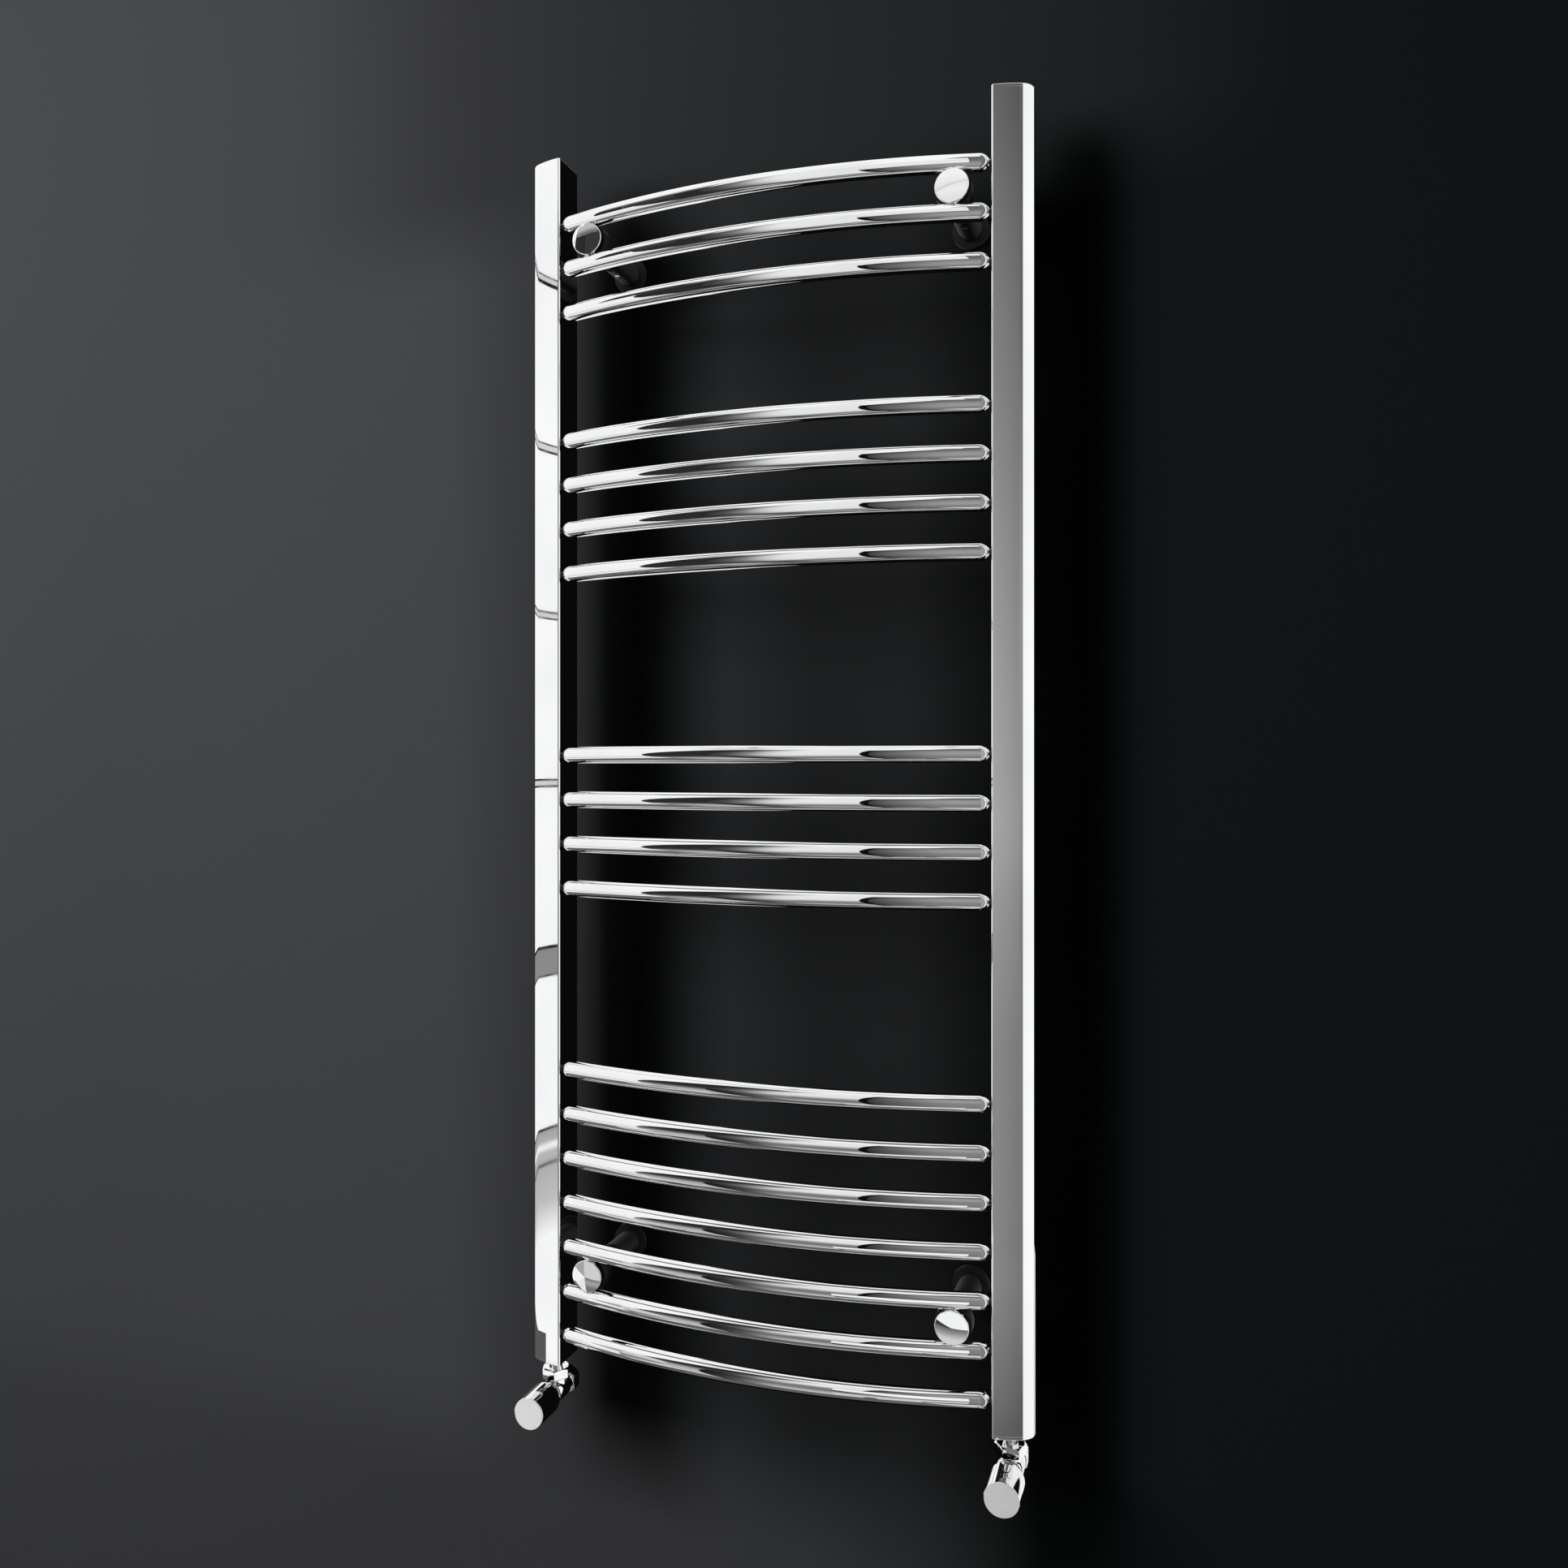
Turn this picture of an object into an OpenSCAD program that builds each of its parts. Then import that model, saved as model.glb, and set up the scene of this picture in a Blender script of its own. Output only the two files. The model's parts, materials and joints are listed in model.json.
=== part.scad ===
// Ladder towel radiator with bowed bars, wall brackets and two angled valves.
// Units are millimetres. +X is to the right, +Z is up and the wall is the plane
// Y = 0, with the room on the -Y side. The origin is the middle of the four
// wall screws.

/* [Rail] */
// Height of the two collectors
col_h = 1200; // [1150:10:1600]
// Width over both collectors
rail_w = 500; // [450:10:700]
// Distance from the wall to the middle of the collectors
wall_gap = 75; // [70:1:95]
// How far the bars bow towards the room
bow = 28; // [20:1:60]

/* [Collectors] */
// Width of a collector, from its flat side to its nose
col_w = 36; // [34:0.5:44]
// Depth of a collector, from front to back
col_d = 40; // [38:0.5:48]
// Radius of the wide front and back curves
front_r = 107; // [90:1:200]
// Radius of the outer nose
nose_r = 14.3; // [14:0.1:17]
// Radius of the two corners beside the flat side
corner_r = 1.8; // [1.7:0.1:4]
// Thickness of the collector wall
col_wall = 1.5; // [1.2:0.1:1.6]
// Thickness of an end plate
plate_t = 3; // [2:0.1:4]
// Chamfer round an end plate's outer edge
plate_chamfer = 0.8; // [0.3:0.1:1.5]

/* [Bars] */
// Outside diameter of a bar
tube_d = 16; // [14:0.5:18]
// Wall thickness of a bar
tube_wall = 1.2; // [0.8:0.1:1.6]
// Distance between the bars of a group
pitch = 44; // [42:0.5:46]
// Collector top to the first bar
top_margin = 66; // [50:1:90]
// Gap below the top group, from bar to bar
gap_upper = 127; // [100:1:150]
// Gap in the middle, from bar to bar
gap_middle = 180; // [150:1:200]
// Gap above the bottom group, from bar to bar
gap_lower = 180; // [150:1:200]
// Number of bars in the top group
bars_top = 3; // [3:1:4]
// Number of bars in the second group
bars_upper = 4; // [3:1:4]
// Number of bars in the third group
bars_lower = 4; // [3:1:4]
// Number of bars in the bottom group
bars_bottom = 7; // [5:1:7]
// Depth of a bar's end behind the collectors' front
bar_inset = 8; // [7:0.5:24]
// Length of the straight end of a bar
straight_end = 20; // [18:0.5:26]
// Distance from the collector at which the end starts to taper
taper_start = 12; // [10:0.5:12.5]
// Radius of the taper's long curve
taper_r = 11; // [10.5:0.5:30]
// Radius of the rounded tip
tip_r = 1; // [0.5:0.1:3]
// Gap between the rounded tip and the collector
tip_gap = 3; // [2.7:0.1:5]
// Diameter of the neck that enters the collector
neck_d = 5.5; // [5:0.1:5.9]
// Water way through the neck
neck_bore_d = 3.6; // [3:0.1:4]
// How far the neck stands into the collector
neck_reach = 1; // [0.5:0.1:3]

/* [Wall brackets] */
// Distance between the left and right brackets
bracket_span = 360; // [330:5:370]
// Diameter of the domed front cap
cap_d = 31; // [30:0.5:34]
// Height of the cap's rim
cap_rim = 4.1; // [2.5:0.1:5]
// Height of the cap's dome
cap_dome = 1.4; // [1:0.1:4]
// Distance from the bars' middle to the cap's back
cap_seat = 3.2; // [2.5:0.1:4]
// Diameter of the saddle behind the bars
saddle_d = 34; // [32:0.5:38]
// Thickness of the saddle behind the bars' middle
saddle_t = 13; // [11:0.5:16]
// Diameter of the sliding stem
stem_d = 16; // [14:0.5:18]
// Hollow inside the stem
stem_bore_d = 10; // [8:0.5:11]
// Distance from the wall to the stem's end
stem_clear = 18; // [17:0.5:22]
// Thread diameter of the clamp stud
stud_d = 6; // [5:0.1:6]
// Outside diameter of the wall cup
cup_d = 23; // [22:0.5:26]
// Length of the wall cup
cup_len = 46; // [42:0.5:50]
// Thickness of the wall cup's floor
cup_floor = 4; // [3:0.1:5]
// Diameter of the wall cup's foot
foot_d = 36; // [32:0.5:44]
// Thickness of the wall cup's foot
foot_t = 3; // [2:0.1:4]
// Hole for the wall screw
screw_hole_d = 5.5; // [4.5:0.1:6.5]
// Diameter of the grub screw that locks the stem
grub_d = 4; // [3:0.1:5]

/* [Air vent and plug] */
// Distance from the collector's top to the vent
vent_drop = 40; // [30:1:50]
// Diameter of the threaded ports at the back and below
port_d = 21; // [20:0.1:21]
// Diameter of the port's boss
boss_d = 24.8; // [24:0.1:25]
// How far the boss reaches into the collector
boss_depth = 13; // [10:0.5:14]
// How far the boss stands behind the collector
boss_proud = 1; // [0.5:0.1:2]
// Hexagon of the vent and the plug, across flats
vent_af = 22; // [21.5:0.1:24]
// Thickness of that hexagon
vent_hex_t = 4; // [3:0.1:5]
// Thread length of the vent and the plug
vent_thread = 11; // [9:0.5:13]
// Thread diameter of the bleed screw
bleed_d = 5; // [4:0.1:6]
// Square head of the bleed screw
bleed_square = 5; // [4.5:0.1:6]
// Length of that head
bleed_head = 5; // [4:0.1:6]

/* [Valves] */
// Distance from a collector's flat side to the valve's tail
tail_inset = 14.3; // [14.2:0.1:14.5]
// Depth of the thread in the collector's bottom port
tail_thread = 12; // [10:0.5:14]
// Diameter of the tail's neck at the collector
tail_top_d = 16.8; // [15:0.1:18]
// Diameter of the tail's neck at the nut
tail_neck_d = 13.2; // [12.5:0.1:14]
// Water way through the tail
tail_bore_d = 10; // [8:0.1:10.5]
// Drop from the collector to the union nut
nut_drop = 9.5; // [8:0.1:10.5]
// Height of the union nut
nut_h = 10; // [9.5:0.1:10]
// Union nut across flats
nut_af = 25; // [24.5:0.1:26]
// Turn of the union nut's flats
nut_turn = 8.5; // [0:0.5:60]
// Thickness of the union nut's lip
nut_lip = 2.4; // [2:0.1:2.6]
// Diameter of the union thread
union_d = 20.8; // [20.4:0.1:21]
// Diameter of the tail's sealing flange
flange_d = 19.2; // [18.6:0.1:19.8]
// Thickness of that flange
flange_t = 2.4; // [2:0.1:2.6]
// Thickness of the union washer
washer_t = 1.5; // [1:0.1:1.6]
// Drop from the collector to the valve's axis
valve_drop = 32; // [32:0.1:36]
// Diameter of the valve's body
body_d = 24; // [23.6:0.1:24]
// Half length of the valve's body
body_half = 12; // [12:0.1:13]
// Diameter of the bore that takes the bonnet
bonnet_thread_d = 18; // [17:0.1:18.4]
// Depth of the bonnet's thread
bonnet_thread = 6; // [5:0.1:6.5]
// Diameter of the chamber
chamber_d = 16; // [15.4:0.1:16.4]
// Distance from the tail to the valve seat
seat_at = 5.5; // [5:0.1:6]
// Diameter of the seat's opening
seat_d = 9; // [8:0.1:10]
// Thickness of the seat's wall
seat_t = 2.5; // [2:0.1:3]
// Bore of the water way behind the seat
way_d = 12; // [10:0.1:13]

/* [Pipe joint] */
// Bore of the pipe socket, for a 15 mm pipe
pipe_bore_d = 15.2; // [15.1:0.05:15.3]
// Distance from the tail to the pipe's stop
pipe_stop = 13; // [12.5:0.1:14]
// Distance from the tail to the body's end
body_end = 21; // [20:0.1:22]
// Diameter of the compression thread
pipe_thread_d = 20.8; // [20.4:0.1:21]
// Pipe nut across flats
pipe_nut_af = 24.5; // [24.2:0.1:24.6]
// Distance from the tail to the pipe nut
pipe_nut_at = 14.8; // [14.7:0.1:15.5]
// Length of the pipe nut
pipe_nut_len = 12; // [11.5:0.1:13]
// Thickness of the pipe nut's lip
pipe_lip = 1.8; // [1.5:0.1:2.2]
// Length of the olive
olive_len = 3.4; // [3:0.1:3.6]
// Outside diameter of the olive
olive_d = 18.4; // [17.8:0.1:19]

/* [Bonnet, spindle and plug] */
// Outside diameter of the bonnet's round part
bonnet_d = 20; // [19:0.1:21]
// Length of that round part in front of the body
bonnet_len = 12; // [11:0.1:13]
// Diameter of the bonnet's neck
bonnet_neck_d = 14; // [13:0.1:15]
// Length of the bonnet's neck
bonnet_neck = 8; // [7:0.1:9]
// Depth of the hollow at the bonnet's back
bonnet_hollow = 3; // [2.8:0.1:3.4]
// Diameter of that hollow
bonnet_hollow_d = 12; // [11.5:0.1:13]
// Diameter of the spindle
spindle_d = 8; // [7.6:0.1:8.4]
// Diameter of the spindle's collar
collar_d = 11.2; // [10.6:0.1:11.4]
// Thickness of the spindle's collar
collar_t = 2; // [1.6:0.1:2.2]
// Depth of the thread inside the spindle
spindle_thread = 9.5; // [9.4:0.1:11]
// Diameter of the plug's threaded stem
plug_stem_d = 5.9; // [5.4:0.05:6]
// Length of the plug's threaded stem
plug_stem = 12.2; // [11.5:0.1:12.4]
// Diameter of the plug's disc
plug_d = 14.8; // [14:0.1:15.2]
// Thickness of the plug's disc
plug_t = 4.5; // [4:0.1:5]
// Travel of the plug from shut to open
plug_travel = 4.5; // [3:0.1:4.5]
// Thickness of the spindle's seal ring
seal_t = 1.5; // [1.2:0.1:1.8]
// Distance from the bonnet's shoulder to the middle of the seal ring
seal_back = 7; // [6:0.5:9]

/* [Heads] */
// Diameter of the handle and of the lockshield cap
head_d = 31; // [29:0.5:32]
// Length of the handle and of the lockshield cap
head_len = 34; // [32:0.5:36]
// Distance from the tail to the head's flat face
head_front = 55; // [54:0.5:57]
// Wall thickness of the head
head_wall = 1.8; // [1.4:0.1:2.4]
// Thickness of the head's face
head_face = 3; // [2.5:0.1:3.5]
// Bevel round the head's face
head_bevel = 0.7; // [0.3:0.1:1.2]
// Diameter of the hub in the handle
hub_d = 13; // [12:0.5:15]
// Length of the hub in the handle
hub_len = 18; // [16:0.5:19]
// Gap between the handle's face and the spindle's end
handle_socket = 6; // [5:0.5:8]
// Diameter of the handle's grub screw
head_screw_d = 3; // [2.5:0.1:4]
// Length of the handle's grub screw
head_screw_len = 5; // [4:0.1:6]
// Distance of the grub screw from the handle's flat face
head_screw_at = 15; // [13:0.5:17]
// Diameter of the lockshield cap's sleeve
sleeve_d = 18; // [17:0.1:20]
// Length of the bonnet's neck that the lockshield cap's sleeve covers
sleeve_cover = 6.5; // [5:0.5:7.5]
// Distance from the face at which the lockshield spindle ends
shield_gap = 17; // [15:0.5:20]
// Square on the end of the lockshield spindle
spindle_square = 5.2; // [4.8:0.1:5.4]

/* [Fits] */
// Radial clearance of a sliding or turning fit
run_fit = 0.06; // [0.04:0.01:0.08]
// Radial clearance of a screwed or pushed joint
thread_fit = 0.05; // [0.03:0.01:0.08]
// Clearance between a bar and what clamps it
clamp_fit = 0.12; // [0.1:0.01:0.2]
// Gap between faces that move past each other
face_gap = 0.1; // [0.05:0.05:0.2]

/* [Hidden] */
$fn = 96;
CHROME = [0.82, 0.83, 0.85];
SATIN = [0.62, 0.63, 0.65];
BRASS = [0.78, 0.62, 0.32];
RUBBER = [0.12, 0.12, 0.13];
MOULDED = [0.06, 0.06, 0.065];
FIBRE = [0.55, 0.28, 0.18];
CUT = 1;

// Where the bars lie, counted up from the collectors' foot.
GROUPS = [bars_top, bars_upper, bars_lower, bars_bottom];
GAPS = [gap_upper, gap_middle, gap_lower];
function group_z(g) =
    g == 0 ? col_h - top_margin : group_z(g - 1) - (GROUPS[g - 1] - 1) * pitch - GAPS[g - 1];
BAR_Z = [for (g = [0:3]) for (i = [0:GROUPS[g] - 1]) group_z(g) - i * pitch];
BARS = len(BAR_Z);

// The brackets sit between two bars near the top and two near the foot.
ROW_HIGH = (BAR_Z[0] + BAR_Z[1]) / 2;
ROW_LOW = (BAR_Z[BARS - 3] + BAR_Z[BARS - 2]) / 2;
FOOT_Z = -(ROW_HIGH + ROW_LOW) / 2;
ROW_Z = (ROW_HIGH - ROW_LOW) / 2;
BRACKET_X = bracket_span / 2;

// Depths: the collectors' front, and the valves' and ports' middle.
FRONT_Y = -(wall_gap + col_d / 2);
MID_Y = -wall_gap;
INNER_X = rail_w / 2 - col_w;
TAIL_X = INNER_X + tail_inset;
VENT_Z = FOOT_Z + col_h - vent_drop;

// Collector section, drawn as (outwards, towards the wall) from the front corner.
// The front curve starts at that corner and runs into the nose without a kink.
NOSE = [col_w - nose_r, col_d / 2];
NOSE_GAP = norm(NOSE);
ALONG = (pow(front_r, 2) - pow(front_r - nose_r, 2) + pow(NOSE_GAP, 2)) / (2 * NOSE_GAP);
ASIDE = sqrt(pow(front_r, 2) - pow(ALONG, 2));
FRONT_C = [
    (ALONG * NOSE[0] - ASIDE * NOSE[1]) / NOSE_GAP,
    (ALONG * NOSE[1] + ASIDE * NOSE[0]) / NOSE_GAP
];
CORNER = [
    corner_r,
    FRONT_C[1] - sqrt(pow(front_r - corner_r, 2) - pow(corner_r - FRONT_C[0], 2))
];
NOSE_WAY = (NOSE - FRONT_C) / norm(NOSE - FRONT_C);
CORNER_WAY = (CORNER - FRONT_C) / norm(CORNER - FRONT_C);

// Bar: an arc with a straight end on each side. The arc's half angle and radius
// follow from the bow and from the room between the collectors.
ARC_HALF = 2 * atan(bow / (INNER_X + straight_end));
ARC_R = (INNER_X - straight_end * cos(ARC_HALF)) / sin(ARC_HALF);
ARC_END = FRONT_Y + bar_inset - straight_end * sin(ARC_HALF);
ARC_Y = ARC_END + ARC_R * cos(ARC_HALF);
TUBE_R = tube_d / 2;
TAPER_C = [TUBE_R - taper_r, taper_start];
TIP_C = [
    TAPER_C[0] + sqrt(pow(taper_r - tip_r, 2) - pow(taper_start - tip_gap - tip_r, 2)),
    tip_gap + tip_r
];
TAPER_END = TAPER_C + (TIP_C - TAPER_C) * taper_r / (taper_r - tip_r);

// Bracket depths, worked out from the bar's own curve where the bracket grips it.
GRIP_Y = ARC_Y - sqrt(pow(ARC_R, 2) - pow(BRACKET_X, 2));
CAP_BACK = GRIP_Y - cap_seat;
SADDLE_BACK = GRIP_Y + saddle_t;
DOME_R = (pow(cap_d / 2, 2) + pow(cap_dome, 2)) / (2 * cap_dome);
STUD_IN_CAP = cap_rim - CUT;

// Valve depths along its own axis, positive towards the wall.
NUT_LOW = nut_drop + nut_h;
FLANGE_TOP = nut_drop + nut_lip + face_gap;
FLANGE_LOW = FLANGE_TOP + flange_t;
SPIGOT_TOP = FLANGE_LOW + washer_t;
BONNET_FRONT = -body_half - bonnet_len;
NECK_FRONT = BONNET_FRONT - bonnet_neck;
HOLLOW_FRONT = -body_half + bonnet_thread - bonnet_hollow;
COLLAR_BACK = HOLLOW_FRONT + face_gap + collar_t;
PLUG_BACK = seat_at - face_gap;
HEAD_BACK = -head_front + head_len;
HANDLE_SPINDLE = -head_front + head_face + handle_socket;
SHIELD_SPINDLE = -head_front + shield_gap;
SLEEVE_BACK = NECK_FRONT + sleeve_cover;
HEAD_SCREW_AT = -head_front + head_screw_at;
SEAL_AT = -body_half - seal_back;

function two(n) = str(n < 10 ? "0" : "", n);
BAR_NODES = [for (i = [1:BARS]) str("bar_", two(i))];
SIDES = ["left", "right"];
PLACES = ["top_left", "top_right", "bottom_left", "bottom_right"];

// ---------- shared shapes ----------

// A round piece along +Z from a to b, with a bore when one is given.
module turned(d, a, b, bore = 0) {
    difference() {
        translate([0, 0, a]) cylinder(d = d, h = b - a);
        if (bore > 0) translate([0, 0, a - CUT]) cylinder(d = bore, h = b - a + 2 * CUT);
    }
}

// A hexagon along +Z from a to b, with its corners turned off at both ends.
module hexagon(af, a, b) {
    corner = af / sqrt(3);
    drop = corner - af / 2;
    intersection() {
        translate([0, 0, a]) cylinder(r = corner, h = b - a, $fn = 6);
        rotate_extrude()
            polygon([
                [0, a], [af / 2, a], [corner, a + drop * 0.58],
                [corner, b - drop * 0.58], [af / 2, b], [0, b]
            ]);
    }
}

// Puts a piece on the right side, or mirrors it onto the left.
module on_side(s) {
    if (s == "left") mirror([1, 0, 0]) children();
    else children();
}

// Turns a piece drawn along +Z so that it runs towards the wall.
module to_wall() {
    rotate([-90, 0, 0]) children();
}

// ---------- collectors ----------

// The D section, moved inwards by an even amount.
module d_section(inset = 0) {
    front_i = front_r - inset;
    nose_i = nose_r - inset;
    corner_i = corner_r - inset;
    far = NOSE[0] + nose_i * NOSE_WAY[0];
    near = CORNER[0] + corner_i * CORNER_WAY[0];
    translate(NOSE) circle(r = nose_i);
    intersection() {
        translate(FRONT_C) circle(r = front_i, $fn = 720);
        translate([FRONT_C[0], col_d - FRONT_C[1]]) circle(r = front_i, $fn = 720);
        translate([near, 0]) square([far - near, col_d]);
    }
    for (t = [CORNER[1], col_d - CORNER[1]]) translate([CORNER[0], t]) circle(r = corner_i);
    translate([inset, CORNER[1]]) square([near - inset + CUT, col_d - 2 * CORNER[1]]);
}

// A threaded boss at the middle of the section, drawn along +Z.
module port_boss(a, b) {
    turned(boss_d, a, b, port_d);
}

module collector_right() {
    port_at = [INNER_X + tail_inset, FRONT_Y + col_d - boss_depth, VENT_Z];
    color(CHROME) {
        difference() {
            union() {
                difference() {
                    translate([INNER_X, FRONT_Y, FOOT_Z + plate_t])
                        linear_extrude(col_h - 2 * plate_t) d_section();
                    translate([INNER_X, FRONT_Y, FOOT_Z]) linear_extrude(col_h) d_section(col_wall);
                }
                translate(port_at) to_wall() cylinder(d = boss_d, h = boss_depth + boss_proud);
            }
            translate(port_at)
                to_wall() translate([0, 0, -CUT]) cylinder(d = port_d, h = boss_depth + 3 * CUT);
            for (z = BAR_Z) bar_end(z)
                cylinder(d = neck_d + 2 * thread_fit, h = 4 * col_wall, center = true);
        }
    }
}

module top_plate_right() {
    color(CHROME) translate([INNER_X, FRONT_Y, FOOT_Z + col_h - plate_t]) rimmed_plate();
}

// An end plate with its upper edge chamfered.
module rimmed_plate() {
    hull() {
        linear_extrude(plate_t - plate_chamfer) d_section($fn = 72);
        linear_extrude(plate_t) d_section(plate_chamfer, $fn = 72);
    }
}

module bottom_plate_right() {
    color(CHROME) {
        difference() {
            translate([INNER_X, FRONT_Y, FOOT_Z + plate_t]) mirror([0, 0, 1]) rimmed_plate();
            at_tail("right") cylinder(d = port_d, h = 4 * plate_t, center = true);
        }
        at_tail("right") port_boss(plate_t, boss_depth + plate_t);
    }
}

// ---------- bars ----------

// Places a bar's end: +Z runs from the right collector's flat side along the bar.
module bar_end(z) {
    translate([INNER_X, FRONT_Y + bar_inset, FOOT_Z + z])
        rotate([0, 0, ARC_HALF]) rotate([0, -90, 0]) children();
}

// The bent part that follows a bar's straight end, to just past the bar's middle.
module bar_arc(d, bore = 0) {
    translate([0, ARC_R, straight_end]) rotate([90, 0, 0]) rotate([0, -90, 0])
        rotate_extrude(angle = ARC_HALF + 1) translate([ARC_R, 0]) difference() {
            circle(d = d);
            if (bore > 0) circle(d = bore);
        }
}

// Outline of the tapered end: radius against distance from the collector.
module bar_tip_outline() {
    reach = neck_reach + col_wall;
    translate([0, taper_start]) square([TUBE_R, straight_end - taper_start]);
    intersection() {
        translate(TAPER_C) circle(r = taper_r, $fn = 240);
        translate([0, TAPER_END[1]]) square([TUBE_R, taper_start - TAPER_END[1]]);
    }
    intersection() {
        translate(TIP_C) circle(r = tip_r);
        square([TUBE_R, TAPER_END[1]]);
    }
    translate([0, -reach]) square([neck_d / 2, reach + TAPER_END[1]]);
}

module bar_tip() {
    hollow_r = TUBE_R - tube_wall;
    difference() {
        rotate_extrude() bar_tip_outline();
        turned(neck_bore_d, -taper_start, straight_end + CUT);
        translate([0, 0, taper_start]) cylinder(r = hollow_r, h = straight_end);
        translate([0, 0, taper_start - hollow_r + neck_bore_d / 2])
            cylinder(r1 = neck_bore_d / 2, r2 = hollow_r, h = hollow_r - neck_bore_d / 2);
    }
}

// The right half of a bar, cut off square at the rail's middle.
module half_bar(z) {
    intersection() {
        bar_end(z) {
            bar_arc(tube_d, tube_d - 2 * tube_wall);
            bar_tip();
        }
        translate([0, FRONT_Y - bow - tube_d, FOOT_Z + z - tube_d])
            cube([rail_w, bow + col_d + tube_d, 2 * tube_d]);
    }
}

module bar(i) {
    color(CHROME) {
        half_bar(BAR_Z[i]);
        mirror([1, 0, 0]) half_bar(BAR_Z[i]);
    }
}

// ---------- wall brackets ----------

// Places a bracket piece at one of the four places, drawn along +Z to the wall.
module at_bracket(place, y) {
    x = (place == "top_left" || place == "bottom_left") ? -BRACKET_X : BRACKET_X;
    z = (place == "top_left" || place == "top_right") ? ROW_Z : -ROW_Z;
    translate([x, y, z]) to_wall() children();
}

// The two bars that a bracket grips, a clamp's clearance wider.
module gripped_bars(place) {
    top = place == "top_left" || place == "top_right";
    side = place == "top_left" || place == "bottom_left" ? "left" : "right";
    first = top ? 0 : BARS - 3;
    for (i = [first, first + 1]) on_side(side) bar_end(BAR_Z[i]) bar_arc(tube_d + 2 * clamp_fit);
}

module saddle(place) {
    color(MOULDED) difference() {
        union() {
            at_bracket(place, GRIP_Y - 1) cylinder(d = saddle_d, h = saddle_t + 1);
            at_bracket(place, SADDLE_BACK) cylinder(d = stem_d, h = -stem_clear - SADDLE_BACK);
        }
        gripped_bars(place);
        at_bracket(place, GRIP_Y - 2) cylinder(d = stud_d + 2 * thread_fit, h = saddle_t + 2 * CUT);
        at_bracket(place, SADDLE_BACK) cylinder(d = stem_bore_d, h = -SADDLE_BACK);
    }
}

module cap(place) {
    rim_front = CAP_BACK - cap_rim;
    color(CHROME) difference() {
        union() {
            at_bracket(place, rim_front) cylinder(d = cap_d, h = cap_rim);
            intersection() {
                at_bracket(place, rim_front - cap_dome + DOME_R) sphere(r = DOME_R, $fn = 240);
                at_bracket(place, rim_front - cap_dome) cylinder(d = cap_d, h = cap_dome);
            }
        }
        gripped_bars(place);
        at_bracket(place, CAP_BACK - STUD_IN_CAP) cylinder(d = stud_d + 2 * thread_fit, h = cap_rim);
    }
}

module clamp_studs() {
    color(SATIN) for (place = PLACES)
        at_bracket(place, CAP_BACK - STUD_IN_CAP)
            cylinder(d = stud_d, h = STUD_IN_CAP + cap_seat + saddle_t);
}

module wall_cups() {
    bore_d = stem_d + 2 * run_fit;
    color(MOULDED) for (place = PLACES) difference() {
        union() {
            at_bracket(place, -cup_len) cylinder(d = cup_d, h = cup_len);
            at_bracket(place, -foot_t) cylinder(d = foot_d, h = foot_t);
        }
        at_bracket(place, -cup_len - CUT) cylinder(d = bore_d, h = cup_len - cup_floor + CUT);
        at_bracket(place, -cup_floor - CUT) cylinder(d = screw_hole_d, h = cup_floor + 2 * CUT);
        at_grub(place) translate([0, 0, -stem_d / 2]) cylinder(d = grub_d + 2 * thread_fit, h = cup_d);
    }
}

// Places a grub screw under a wall cup, drawn from the stem outwards.
module at_grub(place) {
    at_bracket(place, -cup_len * 0.75) translate([0, stem_d / 2 + 3 * face_gap, 0]) rotate([-90, 0, 0])
        children();
}

module cup_grub_screws() {
    length = (cup_d - stem_d) / 2;
    color(SATIN) for (place = PLACES) at_grub(place) difference() {
        cylinder(d = grub_d, h = length);
        translate([0, 0, length - grub_d / 2]) cylinder(d = grub_d / 2, h = grub_d, $fn = 6);
    }
}

// ---------- air vent and blanking plug ----------

// Places a piece in a back port, drawn along +Z from the boss's end to the wall.
module at_port(s) {
    x = s == "left" ? -TAIL_X : TAIL_X;
    translate([x, FRONT_Y + col_d + boss_proud, VENT_Z]) to_wall() children();
}

module port_fitting() {
    turned(port_d - 2 * thread_fit, -vent_thread, 0);
    hexagon(vent_af, 0, vent_hex_t);
}

module vent_body() {
    color(CHROME) at_port("left") difference() {
        port_fitting();
        turned(bleed_d + 2 * run_fit, -vent_thread / 2, vent_hex_t + CUT);
        turned(bleed_d / 2, -vent_thread - CUT, 0);
    }
}

module bleed_screw() {
    shank_end = -vent_thread / 2 + face_gap;
    color(BRASS) at_port("left") {
        turned(bleed_d, shank_end, vent_hex_t + face_gap);
        intersection() {
            turned(bleed_square * 1.3, vent_hex_t + face_gap, vent_hex_t + face_gap + bleed_head);
            translate([-bleed_square / 2, -bleed_square / 2, vent_hex_t + face_gap])
                cube([bleed_square, bleed_square, bleed_head]);
        }
    }
}

module blanking_plug() {
    socket = vent_af / 2;
    color(CHROME) at_port("right") difference() {
        port_fitting();
        translate([0, 0, vent_hex_t - 3]) cylinder(d = socket, h = vent_hex_t, $fn = 6);
    }
}

// ---------- valves ----------

// Places a piece at a tail's axis, at the collector's foot, +Z up.
module at_tail(s) {
    translate([s == "left" ? -TAIL_X : TAIL_X, MID_Y, FOOT_Z]) children();
}

// Places a piece on a valve's own axis, drawn along +Z towards the wall.
module at_valve(s) {
    at_tail(s) translate([0, 0, -valve_drop]) to_wall() children();
}

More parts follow.
